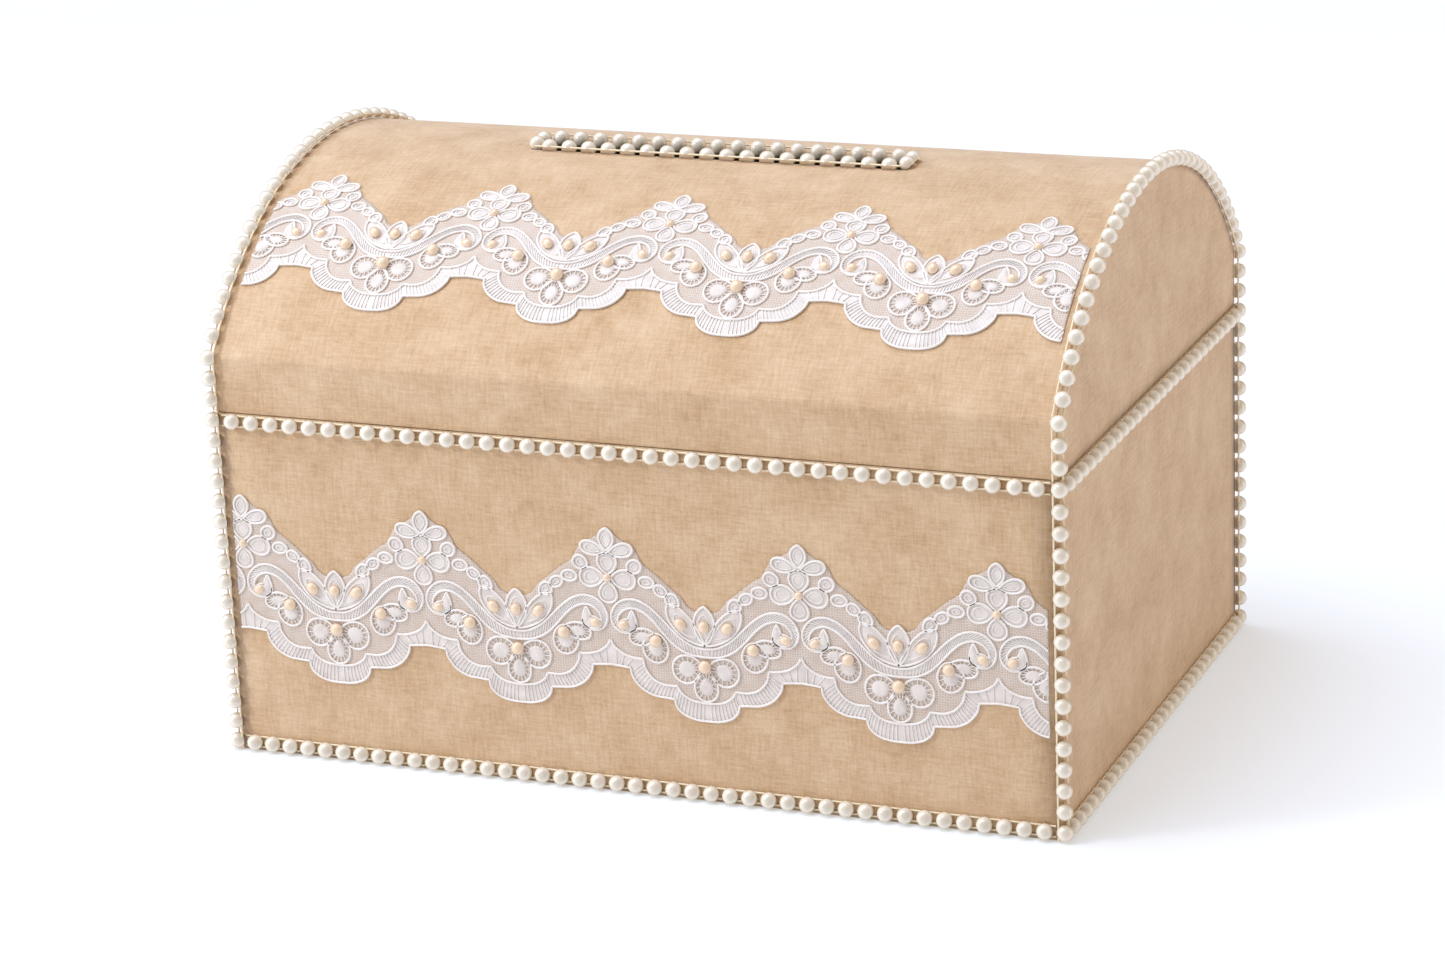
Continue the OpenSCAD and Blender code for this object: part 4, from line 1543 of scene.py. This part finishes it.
        # Size of each ring of points in a petal, and its rise as a share of the bulge.
        rings = ((1.0, 0.0), (0.97, 0.45), (0.7, 0.85), (0.35, 1.0))
        last = (len(rings) - 1) * around
        dome = [*grid_faces(len(rings), around, closed=True),
                tuple(range(last, last + around)), tuple(reversed(range(around)))]
        patches: list[tuple[np.ndarray, list[tuple[int, ...]]]] = []
        for i in self.repeats:
            for petal in self.design.petals:
                fill, bulge, *_ = petal.stitch.value
                patches.append((np.vstack([
                    self.to_band(petal.outline(fill * share, around), i,
                                 self.net_thickness + rise * bulge * MM)
                    for share, rise in rings
                ]), dome))
            for ribbon in self.design.ribbons:
                outer, inner = ribbon.rungs(pitch)
                patches.append((np.vstack([
                    self.to_band(outer + (inner - outer) * t, i, self.net_thickness
                                 + (0.05 + 0.15 * math.sin(math.pi * t)) * MM)
                    for t in np.linspace(0, 1, across)
                ]), grid_faces(across, len(outer))))
        points, faces, total = [], [], 0
        for patch, pattern in patches:
            if self.shown(patch):
                faces += [tuple(total + k for k in face) for face in pattern]
                points.append(patch)
                total += len(patch)
        obj = surface(f"{self.word}_satin", np.vstack(points), faces)
        with editing(obj):
            bpy.ops.mesh.normals_make_consistent(inside=False)
        return self.cut_and_lay(obj)

    def beads(self) -> Obj:
        """Blush beads sewn in the hearts of the flowers and buds."""
        model = primitive("uv_sphere", segments=12, ring_count=8, radius=MM)
        model.data.shade_smooth()
        frames = []
        for i in self.repeats:
            for bead in [*self.design.axis_beads, *both_sides(self.design.side_beads)]:
                radius = bead.radius
                place = self.to_band(np.array([[bead.x, bead.y]]), i,
                                     self.net_thickness + 0.55 * radius * MM)[0]
                if abs(place[0]) < self.half_length - radius * MM:
                    frames.append(
                        Matrix.Translation(place)
                        @ Matrix.Rotation(math.radians(bead.angle), 4, "Z")
                        @ Matrix.Diagonal((radius * bead.stretch, radius, radius * 0.85, 1))
                    )
        obj = scatter(model, frames, f"{self.word}_beads")
        discard(model)
        reshape(obj, self.lay.place(coordinates(obj)))
        return obj


# ---------- boards, lining, hinges ----------


@dataclass(frozen=True)
class Carcass:
    """The CAD's boards, lining, felt and hinges, which keep their shapes and get finishes."""

    finishes: tuple[tuple[str, Finish], ...] = (
        ("board", CHIPBOARD), ("rail", CHIPBOARD), ("lining", LINING), ("felt", FELT),
        ("hinge", BRASS),
    )

    def build(self) -> None:
        """Gives each node that still shows the finish of its kind."""
        for name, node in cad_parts.items():
            if node.hide_render:
                continue
            finish = next(f for word, f in self.finishes if word in name)
            node.data.materials.clear()
            node.data.materials.append(finish.material())
            LOG.info("%s: %s", name, finish.name)


# ---------- stage ----------


@dataclass(frozen=True)
class Stage:
    """A plain pale floor, soft studio light and the camera."""

    camera_place: Vector = Vector((0.6715, -1.6541, 0.6734))
    camera_aim: Vector = Vector((-0.3624, 0.8796, -0.3081))
    camera_roll: float = -2.38
    lens: float = 107.15
    floor_size: float = 40.0
    room_tint: str = "#fff3e4"
    room_light: float = 0.43

    def build(self) -> None:
        """Sets the stage."""
        self.floor()
        self.lights()
        self.camera()

    def floor(self) -> None:
        """A seamless white floor, so wide that its far edge stays out of the picture."""
        obj = primitive("plane", size=self.floor_size)
        obj.name = "stage_floor"
        obj.data.materials.append(LitTable().material())

    def lights(self) -> None:
        """A broad high window, a cool key from the front left, a warm fill and a white room."""
        world = bpy.data.worlds.new("white_room")
        world.use_nodes = True
        feed(world.node_tree.nodes["Background"],
             {"Color": linear(self.room_tint), "Strength": self.room_light})
        bpy.context.scene.world = world
        for name, kind, place, size, power, tint in (
            ("window", "SUN", (-0.7, -0.2, 2.4), math.radians(50), 2.7, "#dde9ff"),
            ("key", "AREA", (-1.15, -0.95, 0.9), 0.4, 10.5, "#f3f7ff"),
            ("fill", "AREA", (1.7, 0.3, 0.5), 0.8, 4.4, "#ffe9d2"),
        ):
            light = bpy.data.lights.new(name, kind)
            light.energy = power
            light.color = linear(tint)[:3]
            if kind == "SUN":
                light.angle = size
            else:
                light.shape, light.size = "DISK", size
            obj = bpy.data.objects.new(name, light)
            obj.location = place
            obj.rotation_euler = (-Vector(place)).to_track_quat("-Z", "Y").to_euler()
            bpy.context.collection.objects.link(obj)

    def camera(self) -> None:
        """A long lens from the right of the front, looking a little down."""
        data = bpy.data.cameras.new("portrait")
        data.lens, data.sensor_width, data.sensor_fit = self.lens, 36.0, "HORIZONTAL"
        data.clip_start, data.clip_end = 0.05, 60.0
        obj = bpy.data.objects.new("portrait", data)
        obj.location = self.camera_place
        turn = self.camera_aim.to_track_quat("-Z", "Y")
        obj.rotation_mode = "QUATERNION"
        obj.rotation_quaternion = turn @ Quaternion((0, 0, 1), math.radians(self.camera_roll))
        bpy.context.collection.objects.link(obj)
        bpy.context.scene.camera = obj
        bpy.context.scene.view_settings.view_transform = "Standard"


def main() -> None:
    """Builds every sub-assembly in order."""
    logging.basicConfig(level=logging.INFO, format="%(message)s")
    box = BoxSizes.from_frame()
    # Each lace is cut off just before the pearls of the corners.
    half = box.width / 2 - 4.5 * MM
    for part in (
        LinenCover(box),
        PearlTrim(box),
        LaceBand("base", Body.BASE, FlatLay(box, bottom=35.5 * MM), repeat=84 * MM,
                 height=80.5 * MM, middle=-8.5 * MM, half_length=half),
        LaceBand("lid", Body.LID, ArchLay(box, bottom=26 * MM), repeat=79.5 * MM,
                 height=75 * MM, middle=0.5 * MM, half_length=half),
        Carcass(),
        Stage(),
    ):
        part.build()


if __name__ == "__main__":
    main()
